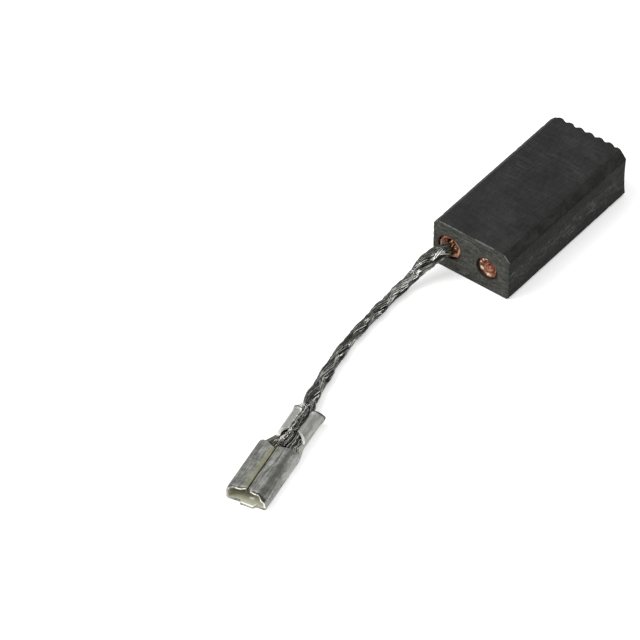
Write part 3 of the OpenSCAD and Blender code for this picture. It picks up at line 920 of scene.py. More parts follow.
def tin_plate():
    look = Look("tin_plate", Metallic=1.0)
    brassy, shoulder_shade, clean, smear = (
        (0.33, 0.325, 0.2), (0.1, 0.1, 0.092), (0.52, 0.525, 0.49), (0.15, 0.15, 0.135)
    )
    glint, dark_line = (0.95, 0.95, 0.92), (0.035, 0.034, 0.022)
    spot = terminal_place(look)
    x, y, z = look.split(spot)
    rolled = look.grain(spot, (8.0, 0.5, 8.0), detail=4.0)
    clouds = look.noise(spot, 0.8, detail=4.0, roughness=0.6)
    specks = look.noise(spot, 5.0, detail=3.0)
    colour = look.ramp(
        0.36 * clouds + 0.52 * rolled + 0.27 * specks - 0.075,
        (0.4, (0.16, 0.165, 0.15)), (0.5, (0.3, 0.305, 0.285)), (0.6, (0.47, 0.47, 0.445)),
    )

    beside_seam = look.band(x, -0.75, -0.3, -0.1, 0.0) * look.fade(y, 5.0, 6.0)
    colour = look.blend(0.7 * beside_seam, colour, brassy)
    # Painted shade on the outer shoulder of each roll, the right one more.
    painted_shading = look.step(x.shaken(rolled, 0.5), 0.8, 1.15)
    painted_shading = painted_shading * look.fade(x.shaken(clouds, 0.5), 1.3, 1.6)
    left_shoulder_shade = look.fade(x.shaken(rolled, 0.8), -1.55, -0.9)
    on_socket = look.fade(y, 5.6, 6.4)
    colour = look.blend((0.75 * painted_shading + 0.35 * left_shoulder_shade) * on_socket, colour, shoulder_shade)

    on_crimp = look.step(y, 7.0, 7.4)
    colour = look.blend(0.65 * on_crimp, colour, clean)
    smeared = look.step(x.shaken(rolled, 0.4), 0.95, 1.25)
    smeared = smeared * look.step(rolled.shaken(clouds, 0.5), 0.42, 0.56)
    colour = look.blend(0.5 * on_crimp * smeared, colour, smear)
    from_tip, from_middle = (
        look.mark(name).shaken(specks, 0.1) for name in ("from_tip", "from_middle")
    )
    # Painted glints on the left wing's tip.
    tip_glints = look.fade(from_tip, 0.1, 0.16) * look.fade(x, 0.2, 0.4)
    tip_glints = tip_glints * look.step(specks, 0.48, 0.56)
    colour = look.blend(on_crimp * tip_glints, colour, glint)

    # Painted shade draws dark lines behind the rim, at the seam, at the crimp's rear end and at the
    # right wing's tip. The die's line along the right wing is a real mark.
    from_mouth = look.mark("from_mouth")
    from_rim = from_mouth.shaken(specks, 0.25) - 0.12 * look.step(x, 0.5, 1.2)
    behind_rim = look.fade(from_rim, 0.08, 0.17) * look.step(z, 0.9, 1.2)
    rear_end = look.step(from_mouth.shaken(specks, 0.2), 10.5, 10.6)
    right_tip = look.fade(from_tip, 0.06, 0.12) * look.step(x, 0.4, 0.6)
    die_line = look.band(from_middle, 1.22, 1.3, 1.38, 1.46) * look.step(x, 0.8, 1.0)
    at_seam = look.fade(abs(x + 0.1), 0.03, 0.07) * look.step(z, 1.1, 1.3)
    at_seam = at_seam * look.fade(y, 5.9, 6.0)
    shade_and_die_lines = behind_rim.most(rear_end).most(at_seam)
    shade_and_die_lines = shade_and_die_lines.most(on_crimp * right_tip.most(0.6 * die_line))
    fine = look.bump(rolled + 0.5 * specks, 0.03, 0.5)
    return look.fed(
        Base_Color=look.blend(0.85 * shade_and_die_lines, colour, dark_line), Roughness=0.4 + 0.3 * clouds,
        Normal=look.bump(clouds, 0.15, 0.6, under=fine),
    )


# %% [markdown]
# The inner face of the sheet is duller and a little yellow, and painted shade
# darkens it towards the back of the receptacle. From the back of the neck on, where
# it lies in deep shadow under the wings, painted light lifts it to a pale brown.
# Painted highlights brighten it along the tongue's edge and in one spot. A dull
# face reflects little, so it is less of a metal here, and the highlights are
# painted as a pale colour with no metal in it.

# %% Inner face
TONGUE = (-0.5, -0.4, 0.75, 0.85)


def inner_face():
    look = Look("inner_tin", Roughness=0.6)
    inside_shade, painted_light_in_crimp, brassy, highlight_white = (
        (0.2, 0.18, 0.12), (0.75, 0.62, 0.38), (0.42, 0.35, 0.22), (0.97, 0.97, 0.93)
    )
    spot = terminal_place(look)
    x, y, z = look.split(spot)
    colour = look.blend(look.noise(spot, 1.1, detail=3.0), (0.48, 0.46, 0.34), (0.7, 0.7, 0.57))
    # Painted shade towards the back of the receptacle.
    colour = look.blend(look.step(y, 2.6, 5.5), colour, inside_shade)
    # Painted light, pale brown, under the wings from the back of the neck on.
    colour = look.blend(look.step(y, 6.6, 7.2), colour, painted_light_in_crimp)
    left_wall = look.fade(x, -1.2, -0.4) * look.step(z, 0.3, 0.8) * look.fade(y, 2.0, 4.0)
    colour = look.blend(0.7 * left_wall, colour, brassy)
    # Painted highlights: one spot, and the tongue's edge.
    spot_highlight = look.fade(((x - 0.2) * 0.7).reach(y - 0.55), 0.1, 0.2)
    tongue_edge_highlight = look.fade(look.mark("from_mouth"), 0.02, 0.06)
    tongue_edge_highlight = tongue_edge_highlight * look.band(x, *TONGUE)
    painted_highlights = spot_highlight.most(tongue_edge_highlight)
    return look.fed(Base_Color=look.blend(painted_highlights, colour, highlight_white), Metallic=0.35 - 0.35 * painted_highlights)


# %% [markdown]
# The cut edge was never rolled: it is torn metal. Its look changes along the part,
# so the finish is laid out as one: the mouth with its upturned rim and floor, then
# the neck, and last the wings. The rim gets painted highlights in patches, dimmer on
# the left and stronger on the right, and painted shade near the lip's tip. The
# floor's edge is painted dark as shade, with a painted highlight along its top at
# the tongue. The wings' fronts get a painted highlight, and their rear end is darker.

# %% Cut edge
def cut_edge():
    look = Look("bright_cut_edge")
    spot = terminal_place(look)
    x, y, z = look.split(spot)
    torn = look.noise(spot, 1.6, detail=3.0)
    dots = look.step(look.noise(spot, 5.0, detail=2.0), 0.48, 0.6)

    # Painted highlights on the rim, in patches, stronger on the right and dimmer on the left.
    shine = look.step(torn, 0.38, 0.52).most(0.8 * look.step(x, 0.9, 1.2))
    shine = shine * (0.45 + 0.55 * look.step(x, -1.3, -0.9))
    rim = look.blend(shine, (0.2, 0.2, 0.18), (0.9, 0.9, 0.85))
    # Painted shade near the lip's tip.
    rim = look.blend(look.step(look.mark("from_tip"), 0.35, 0.5), (0.1, 0.1, 0.08), rim)
    # The floor's edge is painted dark as shade, with a painted highlight along its top at the
    # tongue.
    floor = look.blend(look.step(torn, 0.4, 0.6), (0.13, 0.13, 0.11), (0.35, 0.35, 0.31))
    on_tongue = look.band(x, *TONGUE) * look.step(z.shaken(torn, 0.1), 0.2, 0.24)
    floor = look.blend(on_tongue, floor, (0.95, 0.95, 0.9))
    mouth = look.blend(look.step(z, 0.28, 0.4), floor, rim)

    neck = look.blend(look.step(x, 0.6, 0.9), (0.14, 0.135, 0.11), (0.28, 0.28, 0.25))
    wings = look.blend(dots, (0.12, 0.12, 0.1), (0.8, 0.8, 0.75))
    # A painted highlight on the wings' fronts, with less metal so that it shows brighter.
    wing_front_highlight = look.band(y, 7.1, 7.4, 7.95, 8.25) * look.step(z, 0.8, 1.1)
    wings = look.blend(wing_front_highlight, wings, (0.88, 0.88, 0.84))
    wings = look.blend(look.step(y, 10.1, 10.3), wings, (0.09, 0.09, 0.08))
    behind = look.blend(look.step(y, 7.0, 7.3), neck, wings)
    return look.fed(
        Base_Color=look.blend(look.step(y, 1.5, 3.0), mouth, behind),
        Roughness=0.3 + 0.3 * torn, Metallic=1 - 0.8 * wing_front_highlight,
    )


# %% [markdown]
# Solidify gives the sheet its thickness to both sides of the surface above, and
# picks the second and third materials for its outer side and its rim. A vertex
# group tells it where the sheet is pressed thinner: at the mouth its walls and
# rolls have half the thickness, and the floor keeps all of it. A narrow bevel takes
# the razor edge off, as the plating does.

# %% The terminal, with its thickness
SOFT_EDGE, PRESSED_SHARE, PRESSED_L = 0.035, 0.5, 0.4

terminal = piece("terminal_sheet", terminal_mesh, inner_face(), "terminal")
terminal_mesh.materials.append(tin_plate())
terminal_mesh.materials.append(cut_edge())


def numbers_of(data, key, each=1):
    """What a mesh keeps for each point, as an array."""
    values = np.zeros(len(data) * each, np.float32)
    data.foreach_get(key, values)
    return values


from_mouth = numbers_of(terminal_mesh.attributes["from_mouth"].data, "value")
on_floor = numbers_of(terminal_mesh.vertices, "co", 3)[2::3] < SHEET_T * MM
thickness = PRESSED_SHARE + (1 - PRESSED_SHARE) * ease(0.0, PRESSED_L, from_mouth)
thickness = np.round(np.maximum(thickness, on_floor), 1)
pressed = terminal.vertex_groups.new(name="pressed_thin")
for share in np.unique(thickness):
    pressed.add(np.flatnonzero(thickness == share).tolist(), float(share), "REPLACE")
    print(f"{(thickness == share).sum()} points keep {share:.1f} of the sheet's thickness")

solid = terminal.modifiers.new("thickness", "SOLIDIFY")
solid.thickness, solid.offset, solid.use_even_offset = SHEET_T * MM, 0.0, True
solid.material_offset, solid.material_offset_rim = 1, 2
solid.vertex_group = pressed.name
soften = terminal.modifiers.new("soft_edges", "BEVEL")
soften.width, soften.segments, soften.limit_method = SOFT_EDGE * MM, 2, "ANGLE"
soften.angle_limit = math.radians(50)

# %% [markdown]
# ## The braid's length
#
# The braid leaves the rear face at the hole, is limp, and carries the terminal.
# Its wires end at different lengths. Below, its length and the part of it in the
# block are printed. The declared line stops just short of the shortest.

print(f"cord: {run[-1]:.1f} mm, of which {rear_run:.1f} mm are in the block")

# %% [markdown]
# ## The tamped copper
#
# Copper powder is rammed in round the braid, and a second plug closes the other
# hole. Both are turned shapes: a profile of radius and depth, carried round an
# axis. Rammed powder is never even, so the radius and the depth get an irregular
# wave round the axis, and it fades where the powder meets the wall. The lumps could
# be sculpted, but a formula gives the same ones on each run.

# %% Turned shapes with lumps
AROUND, FINER, WAVES = 96, 5, np.arange(1, 12)


def turned(profile, mouth, seed, lumps, shift, lean=0.0):
    """A solid of revolution about a hole's axis, from (radius, depth, share of lumps).

    r = radius * (1 + lumps * share * wave / 2), sink = depth + lumps * share * wave, where
    wave is a sum of sin(k * angle + a start for each k) / k^0.7. The middle of the face is
    shifted sideways, and the face leans.
    """
    hole_x, hole_z, hole_r = mouth
    profile = np.array(profile)
    fine = np.linspace(0, len(profile) - 1, (len(profile) - 1) * FINER + 1)[:, None]
    radius, depth, share = (
        np.interp(fine, np.arange(len(profile)), profile[:, k]) for k in range(3)
    )
    radius = radius * hole_r / HOLE_R
    angle = 2 * np.pi * np.arange(AROUND) / AROUND
    turns = WAVES * (angle[:, None] + 2.1 * seed) + fine[..., None] * (0.5 + 0.3 * WAVES)
    wave = (np.sin(turns) / WAVES**0.7).sum(-1)
    r = radius * (1 + 0.5 * lumps * share * np.roll(wave, 9, axis=1))
    inside = 1 - ease(0.5, 1.0, radius / hole_r)
    a = r * np.cos(angle) + shift[0] * inside
    b = r * np.sin(angle) + shift[1] * inside
    near_face = 1 - ease(0.6, 1.2, depth)
    sink = depth + lumps * share * wave + lean * near_face * (b - a) / HOLE_R
    points = np.stack([hole_x + a, REAR_Y + sink, hole_z + b], axis=-1)
    return points.reshape(-1, 3), grid_faces(len(fine), AROUND, ring=True)


WALL = HOLE_R - 0.004
braid_copper = turned([
    (0, 4.7, 0), (WALL, 4.0, 0), (WALL, 0.3, 0), (1.15, 0.17, 0.5), (1.05, 0.13, 1),
    (0.92, 0.14, 1), (0.8, 0.2, 1), (0.7, 0.28, 1), (0.6, 0.36, 0.8), (0.52, 0.46, 0.4),
    (0.5, 0.7, 0), (0, 0.7, 0),
], WIRE_MOUTH, seed=3, lumps=0.06, shift=(-0.04, 0.05))
plug_copper = turned([
    (0, 0.14, 0), (0.16, 0.14, 0.4), (0.34, 0.16, 1), (0.5, 0.22, 1), (0.62, 0.36, 0.8),
    (0.7, 0.4, 0.6), (0.8, 0.32, 0.8), (0.92, 0.22, 1), (1.03, 0.18, 0.8), (1.13, 0.19, 0.4),
    (WALL, 0.24, 0), (WALL, 2.2, 0), (0, 2.2, 0),
], STOP_MOUTH, seed=5, lumps=0.035, shift=(0.06, 0.02), lean=0.04)
print("points round the braid:", len(braid_copper[0]), "and in the plug:", len(plug_copper[0]))

# %% [markdown]
# The copper is a metal in grains, light where it was pressed smooth and brown
# inside the funnel, where it tarnishes. The round tamping tool left a groove in the
# plug. Outside the groove, on its left, lies an arc of painted highlights, and next
# to the wall painted shade darkens the copper.

# %% Copper powder
def rammed_copper():
    look = Look("rammed_copper", Metallic=1.0)
    groove_dark, highlight_pale, wall_shade = (0.12, 0.045, 0.025), (0.92, 0.8, 0.66), (0.1, 0.035, 0.02)
    spot = look.place()
    x, y, z = look.split(spot)
    grains = look.noise(spot, 6.0, detail=5.0, roughness=0.65)
    patches = look.noise(spot, 1.7, detail=3.0)
    colour = look.ramp(
        0.5 * grains + 0.5 * patches,
        (0.4, (0.13, 0.045, 0.028)), (0.5, (0.37, 0.16, 0.1)), (0.63, (0.8, 0.5, 0.37)),
    )

    off_x = x - STOP_MOUTH[0]
    from_axis = off_x.reach(z - STOP_MOUTH[1])
    groove = look.band(from_axis.shaken(grains, 0.2), 0.5, 0.58, 0.6, 0.68)
    colour = look.blend(0.55 * groove, colour, groove_dark)
    # Painted highlights in an arc on the plug's left.
    highlight_arc = look.band(from_axis, 0.66, 0.74, 0.86, 0.92) * look.fade(off_x, -0.1, 0.3)
    colour = look.blend(highlight_arc * look.step(patches.shaken(grains, 0.6), 0.46, 0.58), colour, highlight_pale)
    # Painted shade on the copper next to the wall.
    shade_at_wall = look.step(from_axis.shaken(grains, 0.1), 0.86, 0.95) * look.fade(from_axis, 1.2, 1.3)
    colour = look.blend(0.8 * shade_at_wall, colour, wall_shade)

    stained = look.blend(look.step(grains, 0.45, 0.58), (0.05, 0.018, 0.01), (0.42, 0.24, 0.11))
    tarnish = look.step((y - REAR_Y).shaken(patches, 0.4), 0.3, 0.6)
    return look.fed(
        Base_Color=look.blend(tarnish, colour, stained), Roughness=0.35 + 0.3 * grains,
        Normal=look.bump(grains, 0.15, 0.8),
    )


copper = rammed_copper()
for name, shape, node in (
    ("braid_copper", braid_copper, "wire_tamping"), ("plug_copper", plug_copper, "cutoff_plug"),
):
    piece(name, mesh_of(name, [shape]), copper, node)

# %% [markdown]
# ## The block's surface
#
# The block is a prism with broken edges. Cutting a box with other shapes would give
# its faces, but sharp edges too, and here every edge is worn. So the surface is laid
# out as grids, fine enough at the edges to chip them.
#
# Its section is written as a bottom and a top height for each place across the
# width, so that one list of places serves the side walls, the contact face and the
# rear face. Where two faces meet, the lower of their two heights holds, and a small
# term under a root rounds the corner: (a + b - sqrt((a - b)^2 + size^2)) / 2.

# %% The block's section
SPLIT_X = (WIRE_HOLE_X + STOP_HOLE_X) / 2
LEFT_STRIP, RIGHT_STRIP = 0.5, 0.78


def soft_least(a, b, size):
    """The lower of two heights, with the corner between them rounded."""
    return (a + b - np.sqrt((a - b) ** 2 + size**2)) / 2


def top_height(x):
    """The lowest of a flat top and two slopes of 45 degrees, the bevel and the chamfer."""
    bevel = BLOCK_T + (HALF_W - KEY_BEVEL) - x
    chamfer = BLOCK_T + (HALF_W - TOP_CHAMFER) + x
    return soft_least(soft_least(BLOCK_T, bevel, 0.12), chamfer, 0.08)


def bottom_height(x):
    """The highest of a flat bottom and the slopes of its two broken edges."""
    return -soft_least(0, HALF_W - EDGE_BREAK - np.abs(x), 0.03)


# Places across the width, closer together in the bevels, with the split among them
places = np.unique(np.concatenate([
    np.linspace(-HALF_W, -HALF_W + LEFT_STRIP, 16), np.linspace(-HALF_W + LEFT_STRIP, SPLIT_X, 76),
    np.linspace(SPLIT_X, HALF_W - RIGHT_STRIP, 86), np.linspace(HALF_W - RIGHT_STRIP, HALF_W, 22),
]).round(6))
heights = np.concatenate([[0, 0.012, 0.03], np.linspace(0.06, 0.94, 31), [0.97, 0.988, 1]])
low_z, top_z = bottom_height(places)[:, None], top_height(places)[:, None]
section_z = low_z + (top_z - low_z) * heights
split_at = int(np.argmin(np.abs(places - SPLIT_X)))
print(f"section: {len(places)} places across, {len(heights)} heights")

# %% [markdown]
# The border of the section goes once round it. It is moved inwards by the wear:
# edges chip in use, and the chips are small dents that follow each long edge at
# irregular places. The wide bevel is chipped more, and so is the rim of the rear
# face. At both ends the wall turns in on a small arc, r - sqrt(r^2 - (r - s)^2) for
# a distance s from the end.

# %% The section's border, and its chips
ROUND = 0.03
# Widths of the chipped strips: by an edge, by the bevel, behind the rear face
CHIP, BEVEL_CHIP, REAR_CHIP = 0.07, 0.16, 0.12


def border_of(first, last):
    """Border of the section between two places: along the bottom, up, back on top, down."""
    x, z = places[first : last + 1], section_z[first : last + 1]
    up = len(heights) - 2
    return np.concatenate([
        np.stack([x, z[:, 0]], 1), np.stack([np.full(up, x[-1]), z[-1, 1:-1]], 1),
        np.stack([x, z[:, -1]], 1)[::-1], np.stack([np.full(up, x[0]), z[0, 1:-1]], 1)[::-1],
    ])


def turned_in(gap):
    """How far the wall turns in at a distance from an end: an arc of radius ROUND."""
    return ROUND - np.sqrt(np.clip(ROUND**2 - (ROUND - np.minimum(gap, ROUND)) ** 2, 0, None))


border = border_of(0, len(places) - 1)
tangent = unit(np.roll(border, -1, 0) - np.roll(border, 1, 0))
inward = np.stack([-tangent[:, 1], tangent[:, 0]], axis=1)
corners = np.array([
    [-HALF_W + EDGE_BREAK, 0], [HALF_W - EDGE_BREAK, 0], [HALF_W, EDGE_BREAK],
    [HALF_W, BLOCK_T - KEY_BEVEL], [HALF_W - KEY_BEVEL, BLOCK_T],
    [-HALF_W + TOP_CHAMFER, BLOCK_T], [-HALF_W, BLOCK_T - TOP_CHAMFER], [-HALF_W, EDGE_BREAK],
])
BEVEL_CORNERS = (3, 4)
from_corner = np.linalg.norm(border[:, None] - corners[None], axis=-1)
nearest, from_corner = from_corner.argmin(1), from_corner.min(1)

end_rows = ROUND * (1 - np.cos(np.linspace(0, np.pi / 2, 6))) / BLOCK_L
shares = np.concatenate([end_rows, np.linspace(0.012, 0.988, 96), 1 - end_rows[::-1]])
distance = shares * BLOCK_L
along_edges = np.stack([
    np.clip(ripple(distance, 50 + k, 1.5, 9) - 0.8, 0, None) * 0.05
    + 0.004 * np.abs(ripple(distance, 70 + k, 5, 20)) for k in range(len(corners))
], axis=1)
along_bevel = np.stack([
    0.014 + 0.014 * ripple(distance, 95 + k, 0.8, 4) for k in range(len(corners))
], axis=1) * (ease(0, 0.3, distance) * ease(0, 0.3, BLOCK_L - distance))[:, None]
way_round = np.cumsum(np.linalg.norm(np.diff(border, axis=0, append=border[:1]), axis=1))
rear_rim = np.clip(ripple(way_round, 91, 2, 11) - 0.4, 0, None) * 0.05

worn = turned_in(distance)[:, None] + turned_in(BLOCK_L - distance)[:, None]
worn = worn + along_edges[:, nearest] * hump(from_corner, 0, CHIP)
worn = worn + along_bevel[:, nearest] * (
    np.isin(nearest, BEVEL_CORNERS) * hump(from_corner, 0, BEVEL_CHIP)
)
worn = worn + hump(distance, 0, REAR_CHIP)[:, None] * rear_rim
print("the deepest chip is", round(float(worn.max()), 3), "mm")

# %% [markdown]
# The contact face is a hollow cylinder of the commutator's radius, less the grooves
# between its ridges. Each ridge has a narrow land on top, a steep flank and a gentle
# one, so the depth beside it grows with the distance past the land over the flank's
# length. The last ridge is broken off. The face is a grid on the section's places,
# and its rim takes the wall's last row, so that the two close.

# %% Walls and contact face
COMMUTATOR_R = 14.0
RIDGES, PITCH, LAND, RIDGE_SHIFT = 7, 1.04, 0.22, 0.1
STEEP, GENTLE, GROOVE, BROKEN_OFF = 0.312, 0.468, 0.22, 0.13
WAVY = 0.012


def contact_y(x, z):
    """Place of the contact face: the block's end, less the hollow, less the depth by a ridge."""
    hollow = np.sqrt(COMMUTATOR_R**2 - (z - HOLE_Z) ** 2) - math.sqrt(COMMUTATOR_R**2 - HOLE_Z**2)
    past = x[..., None] - RIDGE_SHIFT - (np.arange(RIDGES) - (RIDGES - 1) / 2) * PITCH
    down = np.maximum((-past - LAND / 2) / STEEP, (past - LAND / 2) / GENTLE).min(-1)
    down = 0.6 * np.clip(down, 0, 1) + 0.4 * ease(0, 1, down)
    chipped = ease(2.9, 3.15, x)
    depth = GROOVE * down * (1 - chipped) + BROKEN_OFF * chipped
    return BLOCK_L / 2 - hollow - depth - WAVY * np.abs(ripple(x, 81, 2, 7))


wall_x, wall_z = np.moveaxis(border + inward * worn[..., None], -1, 0)
wall_y = REAR_Y + (contact_y(wall_x, wall_z) - REAR_Y) * shares[:, None]
wall = np.stack([wall_x, wall_y, wall_z], axis=-1)

n_x, n_z = section_z.shape
up, back = np.arange(1, n_z - 1), np.arange(n_x) * n_z
rim = np.concatenate([back, back[-1] + up, back[::-1] + n_z - 1, up[::-1]])
face_x = np.repeat(places, n_z)
face = np.stack([face_x, np.zeros_like(face_x), section_z.ravel()], axis=-1)
face[rim, 0], face[rim, 2] = wall[-1, :, 0], wall[-1, :, 2]
face[:, 1] = contact_y(face[:, 0], face[:, 2])
face[rim, 1] = wall[-1, :, 1]
print("the contact face is up to", round(float(np.ptp(face[:, 1])), 2), "mm deep")

# %% [markdown]
# The rear face has two holes, so it is split half-way between them. Each half is
# a ring: its inner line is the hole's mouth and its outer line the half's own
# border, with the same number of points on both. Rows between them are shares of
# the way from one to the other, and further rows go down the bore to its point.

# %% Rear face and bores
DRILL_HALF_ANGLE = math.radians(59)
WIRE_HOLE_DEPTH, STOP_HOLE_DEPTH = 4.0, 10.5


def rear_half(first, last, mouth, depth):
    """Half of the rear face and its bore: from the border to the mouth, down to the point."""
    hole_x, hole_z, hole_r = mouth
    outer = border_of(first, last)
    ring = np.stack([outer[:, 0], np.full(len(outer), REAR_Y), outer[:, 1]], axis=1)
    gaps = np.linalg.norm(outer[:, None] - border[None], axis=-1)
    on_border = gaps.min(1) < 1e-9
    ring[on_border] = wall[0][gaps.argmin(1)[on_border]]
    angle = np.arctan2(ring[:, 2] - hole_z, ring[:, 0] - hole_x)
    circle = np.stack([np.cos(angle), np.zeros(len(angle)), np.sin(angle)], axis=1)
    centre = np.array([hole_x, REAR_Y, hole_z])
    nick = WAVY * ripple(3 * angle, 61 + first, 1, 4)[:, None]
    lip = centre + circle * (hole_r + 0.03 + nick)
    flat = ring[None] + (lip - ring)[None] * np.linspace(0, 1, 15)[:, None, None]
    bore = [centre + circle * radius + (0, down, 0) for radius, down in (
        (hole_r + 0.008, 0.03), (hole_r, 0.08), (hole_r, depth),
        (0, depth + hole_r / math.tan(DRILL_HALF_ANGLE)),
    )]
    points = np.concatenate([flat, np.stack(bore)])
    return points.reshape(-1, 3), grid_faces(len(points), len(ring), ring=True)


block_mesh = mesh_of("graphite_block", [
    (wall.reshape(-1, 3), grid_faces(len(shares), len(border), ring=True)),
    (face, grid_faces(n_x, n_z)),
    rear_half(0, split_at, WIRE_MOUTH, WIRE_HOLE_DEPTH),
    rear_half(split_at, len(places) - 1, STOP_MOUTH, STOP_HOLE_DEPTH),
], merge=2e-4)
print(f"the block's walls have {len(shares)} rows of {len(border)} points")

# %% [markdown]
# ## The graphite's finish
#
# Each face of the block was made another way, and shows it. The broad faces are
# ground across the block, which leaves fine lines over a smooth charcoal, and the
# lines show in patches. The narrow side is mottled, with lighter smears in a band
# where it has been handled. The rear face is sawn: rougher, lighter and a little
# green, with strokes along its width. One material holds all of these, and the
# surface's own direction picks the finish. Each face's colour is also set to how
# brightly that face is lit, so the differences in brightness between the faces,
# the rear face's lightness among them, are partly painted light.
#
# A painted highlight runs along the edges where the rear face meets the top, broken
# in places. A little copper powder stays in the graphite round the two holes.

# %% Graphite
def graphite():
    look = Look("graphite", Specular_IOR_Level=0.12)
    painted_shading, copper_dark = (0.21, 0.215, 0.195), (0.045, 0.024, 0.016)
    spot = look.place()
    x, y, z = look.split(spot)
    nx, ny, nz = look.facing()
    is_top, is_rear = look.step(nz, 0.8, 0.97), look.step(-1 * ny, 0.6, 0.9)
    is_side = look.step(abs(nx), 0.75, 0.95)
    clouds = look.noise(spot, 0.35, detail=4.0)
    pores = look.noise(spot, 8.0, detail=3.0, roughness=0.7)

    lines = look.grain(spot, (0.6, 5.0, 2.0), detail=3.0, roughness=0.6, distortion=0.3)
    cross = look.grain(spot, (7.0, 1.2, 2.0), detail=3.0)
    scored = look.step(clouds, 0.46, 0.58) * look.band(y, -3.5, 0.0, 6.0, 8.0)
    ground = 0.5 + (lines - 0.5) * (0.4 + 0.6 * scored)
    top = look.ramp(
        0.45 * ground + 0.2 * cross + 0.3 * clouds + 0.25 * pores - 0.1,
        (0.42, (0.015, 0.015, 0.015)), (0.5, (0.024, 0.024, 0.024)), (0.6, (0.038, 0.038, 0.037)),
    )

    smear = look.grain(spot, (1.2, 0.7, 1.6), detail=5.0, roughness=0.62, distortion=0.9)
    scuffs = look.grain(spot, (4.0, 2.3, 4.0), detail=4.0, roughness=0.6)
    handled = look.band(z.shaken(clouds, 1.2), 0.9, 1.9, 2.4, 3.2)
    side = look.ramp(
        0.45 * smear + 0.33 * scuffs + 0.22 * pores + 0.09 * handled - 0.03,
        (0.43, (0.004, 0.004, 0.003)), (0.51, (0.009, 0.009, 0.008)),
        (0.57, (0.022, 0.022, 0.02)), (0.65, (0.075, 0.077, 0.069)),
    )

    sawn = look.grain(spot, (0.7, 1.0, 6.0), detail=5.0, roughness=0.65, distortion=1.2)
    strokes = look.grain(spot, (2.2, 1.0, 3.4), detail=4.0, distortion=1.5)
    rear = look.ramp(
        0.4 * sawn + 0.4 * strokes + 0.2 * pores,
        (0.41, (0.028, 0.028, 0.024)), (0.5, (0.065, 0.067, 0.058)), (0.6, (0.12, 0.122, 0.108)),
    )
    rear = look.blend(0.45 * look.step(x, 3.3, 3.95), rear, (0.03, 0.03, 0.027))

    mottled = look.step(0.6 * smear + 0.4 * pores, 0.4, 0.6)
    colour = look.blend(mottled, (0.012, 0.012, 0.011), (0.028, 0.028, 0.026))
    # Colours for each face: partly its own finish, partly painted light for how brightly that face
    # is lit.
    for share, own in ((is_top, top), (is_side, side), (is_rear, rear)):
        colour = look.blend(share, colour, own)

    # A painted highlight along the edges where the rear face meets the top and its slopes, broken
    # at nicks.
    over_bevel = HALF_W + BLOCK_T - KEY_BEVEL - x
    over_chamfer = HALF_W + BLOCK_T - TOP_CHAMFER + x
    below_edge = (over_bevel.least(over_chamfer).least(BLOCK_T) - z).shaken(
        look.noise(spot, 3.0, detail=4.0), 0.09
    )
    nicks = 0.15 + 0.85 * look.step(look.noise(spot, 1.6, detail=3.0), 0.42, 0.6)
    at_rear = look.fade(abs(y - REAR_Y), 0.03, 0.1)
    colour = look.blend(at_rear * look.fade(below_edge, 0.05, 0.1) * nicks, colour, painted_shading)

    past_wire, past_stop = (
        (x - at_x).reach(z - at_z) - radius for at_x, at_z, radius in (WIRE_MOUTH, STOP_MOUTH)
    )
    dusty = is_rear * look.fade(past_wire.least(past_stop).shaken(pores, 0.25), 0.02, 0.2)
    relief = (0.5 * ground + 0.1 * cross) * is_top + 0.9 * sawn * is_rear
    relief = relief + (0.5 * smear + 0.5 * scuffs) * is_side
    return look.fed(
        Base_Color=look.blend(0.8 * dusty, colour, copper_dark),
        Roughness=(0.6 + 0.2 * is_rear).shaken(pores, 0.15),
        Normal=look.bump(relief, 0.12, 1.0, under=look.bump(pores, 0.02, 0.7)),
    )


piece("graphite_block", block_mesh, graphite(), "carbon_block")

# %% [markdown]
# ## The parts that no one sees
#
# Behind the plug a spring and a plastic pin wait for the carbon to wear down. They
# are inside the block, so their solids stay as they are and get a simple finish
# each, in case the brush is ever shown cut open: two colours and a roughness that
# follow the same noise.

# %% Spring steel and pin plastic
def plain_finish(name, metallic, scale, detail, colours, roughness):
    """Two colours blended by a noise, and a roughness of least + range * noise."""
    look = Look(name, Metallic=metallic)
    noise = look.noise(look.place(), scale, detail=detail)
    least, over = roughness
    return look.fed(Base_Color=look.blend(noise, *colours), Roughness=least + over * noise)


hidden = {
    "cutoff_spring": plain_finish(
        "drawn_steel", 1.0, 8.0, 2.0, [(0.3, 0.3, 0.31), (0.5, 0.5, 0.52)], (0.25, 0.2)
    ),
    "cutoff_pin": plain_finish(
        "cream_plastic", 0.0, 3.0, 3.0, [(0.58, 0.52, 0.38), (0.66, 0.6, 0.46)], (0.45, 0.15)
    ),
}
for node, finish in hidden.items():
    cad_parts[node].data.materials.clear()
    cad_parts[node].data.materials.append(finish)
    print(f"{node} gets {finish.name}")

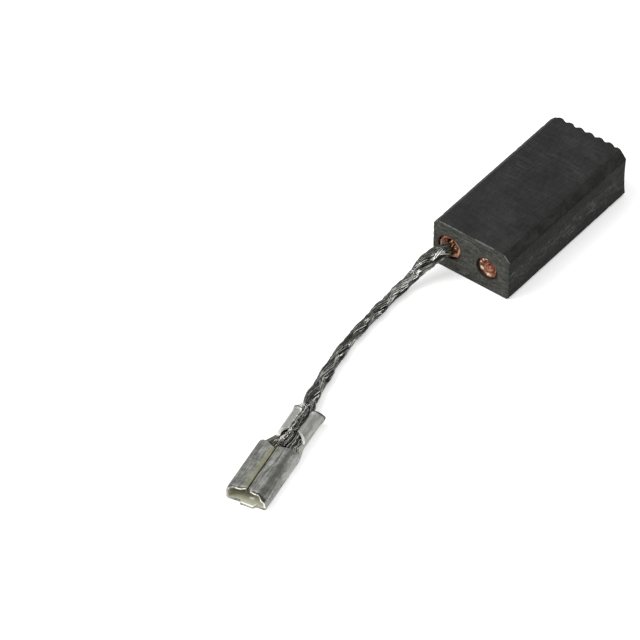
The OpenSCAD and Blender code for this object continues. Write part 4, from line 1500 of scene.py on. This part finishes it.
# %% [markdown]
# ## Floor and light
#
# The floor is plain and pale. To the camera, and in reflections, a part of its
# white comes from a little emission, so that it shows nearly white without
# more light on the object, and it still keeps the object's shadow. A
# large soft lamp above and behind the camera's left lights the rear face, and the
# world fills the rest evenly.

# %% Floor
FLOOR_HALF, FLOOR_GLOW = 900.0, 0.35


def pale_floor():
    look = Look(
        "pale_floor", Base_Color=(0.9, 0.9, 0.9, 1), Roughness=1.0,
        Specular_IOR_Level=0.0, Emission_Color=(1, 1, 1, 1),
    )
    path = look.node("ShaderNodeLightPath")
    seen = path.out("Is Camera Ray").most(path.out("Is Glossy Ray"))
    seen = seen.most(path.out("Is Transmission Ray"))
    return look.fed(Emission_Strength=seen * FLOOR_GLOW)


floor_corners = FLOOR_HALF * np.array([[-1, -1, 0], [1, -1, 0], [1, 1, 0], [-1, 1, 0]])
floor_mesh = mesh_of("floor", [(floor_corners, np.array([[0, 1, 2, 3]]))], merge=0, outwards=False)
floor_mesh.materials.append(pale_floor())
floor = bpy.data.objects.new("floor", floor_mesh)
bpy.context.scene.collection.objects.link(floor)
print("floor:", 2 * FLOOR_HALF, "mm square")


# %% Lamps and world
LIT_POINT, WORLD_STRENGTH = Vector((0, -15, 1)), 0.5


def soft_lamp(name, place, size, strength):
    """A square area lamp in millimetres that faces a point on the object."""
    data = bpy.data.lights.new(name, "AREA")
    data.shape, data.size, data.energy = "SQUARE", size * MM, strength
    lamp = bpy.data.objects.new(name, data)
    bpy.context.scene.collection.objects.link(lamp)
    turn = (LIT_POINT - Vector(place)).to_track_quat("-Z", "Y").to_matrix().to_4x4()
    lamp.matrix_world = Matrix.Translation(Vector(place) * MM) @ turn
    print(f"{name} lamp: {size} mm wide, {strength} W")


soft_lamp("key", (-240, -260, 420), 380, 2.0)
soft_lamp("overhead", (140, 60, 480), 420, 0.8)

world = bpy.data.worlds.new("studio")
world.use_nodes = True
background = world.node_tree.nodes["Background"].inputs
background["Color"].default_value = (1, 1, 1, 1)
background["Strength"].default_value = WORLD_STRENGTH
bpy.context.scene.world = world
bpy.context.scene.view_settings.view_transform = "Standard"
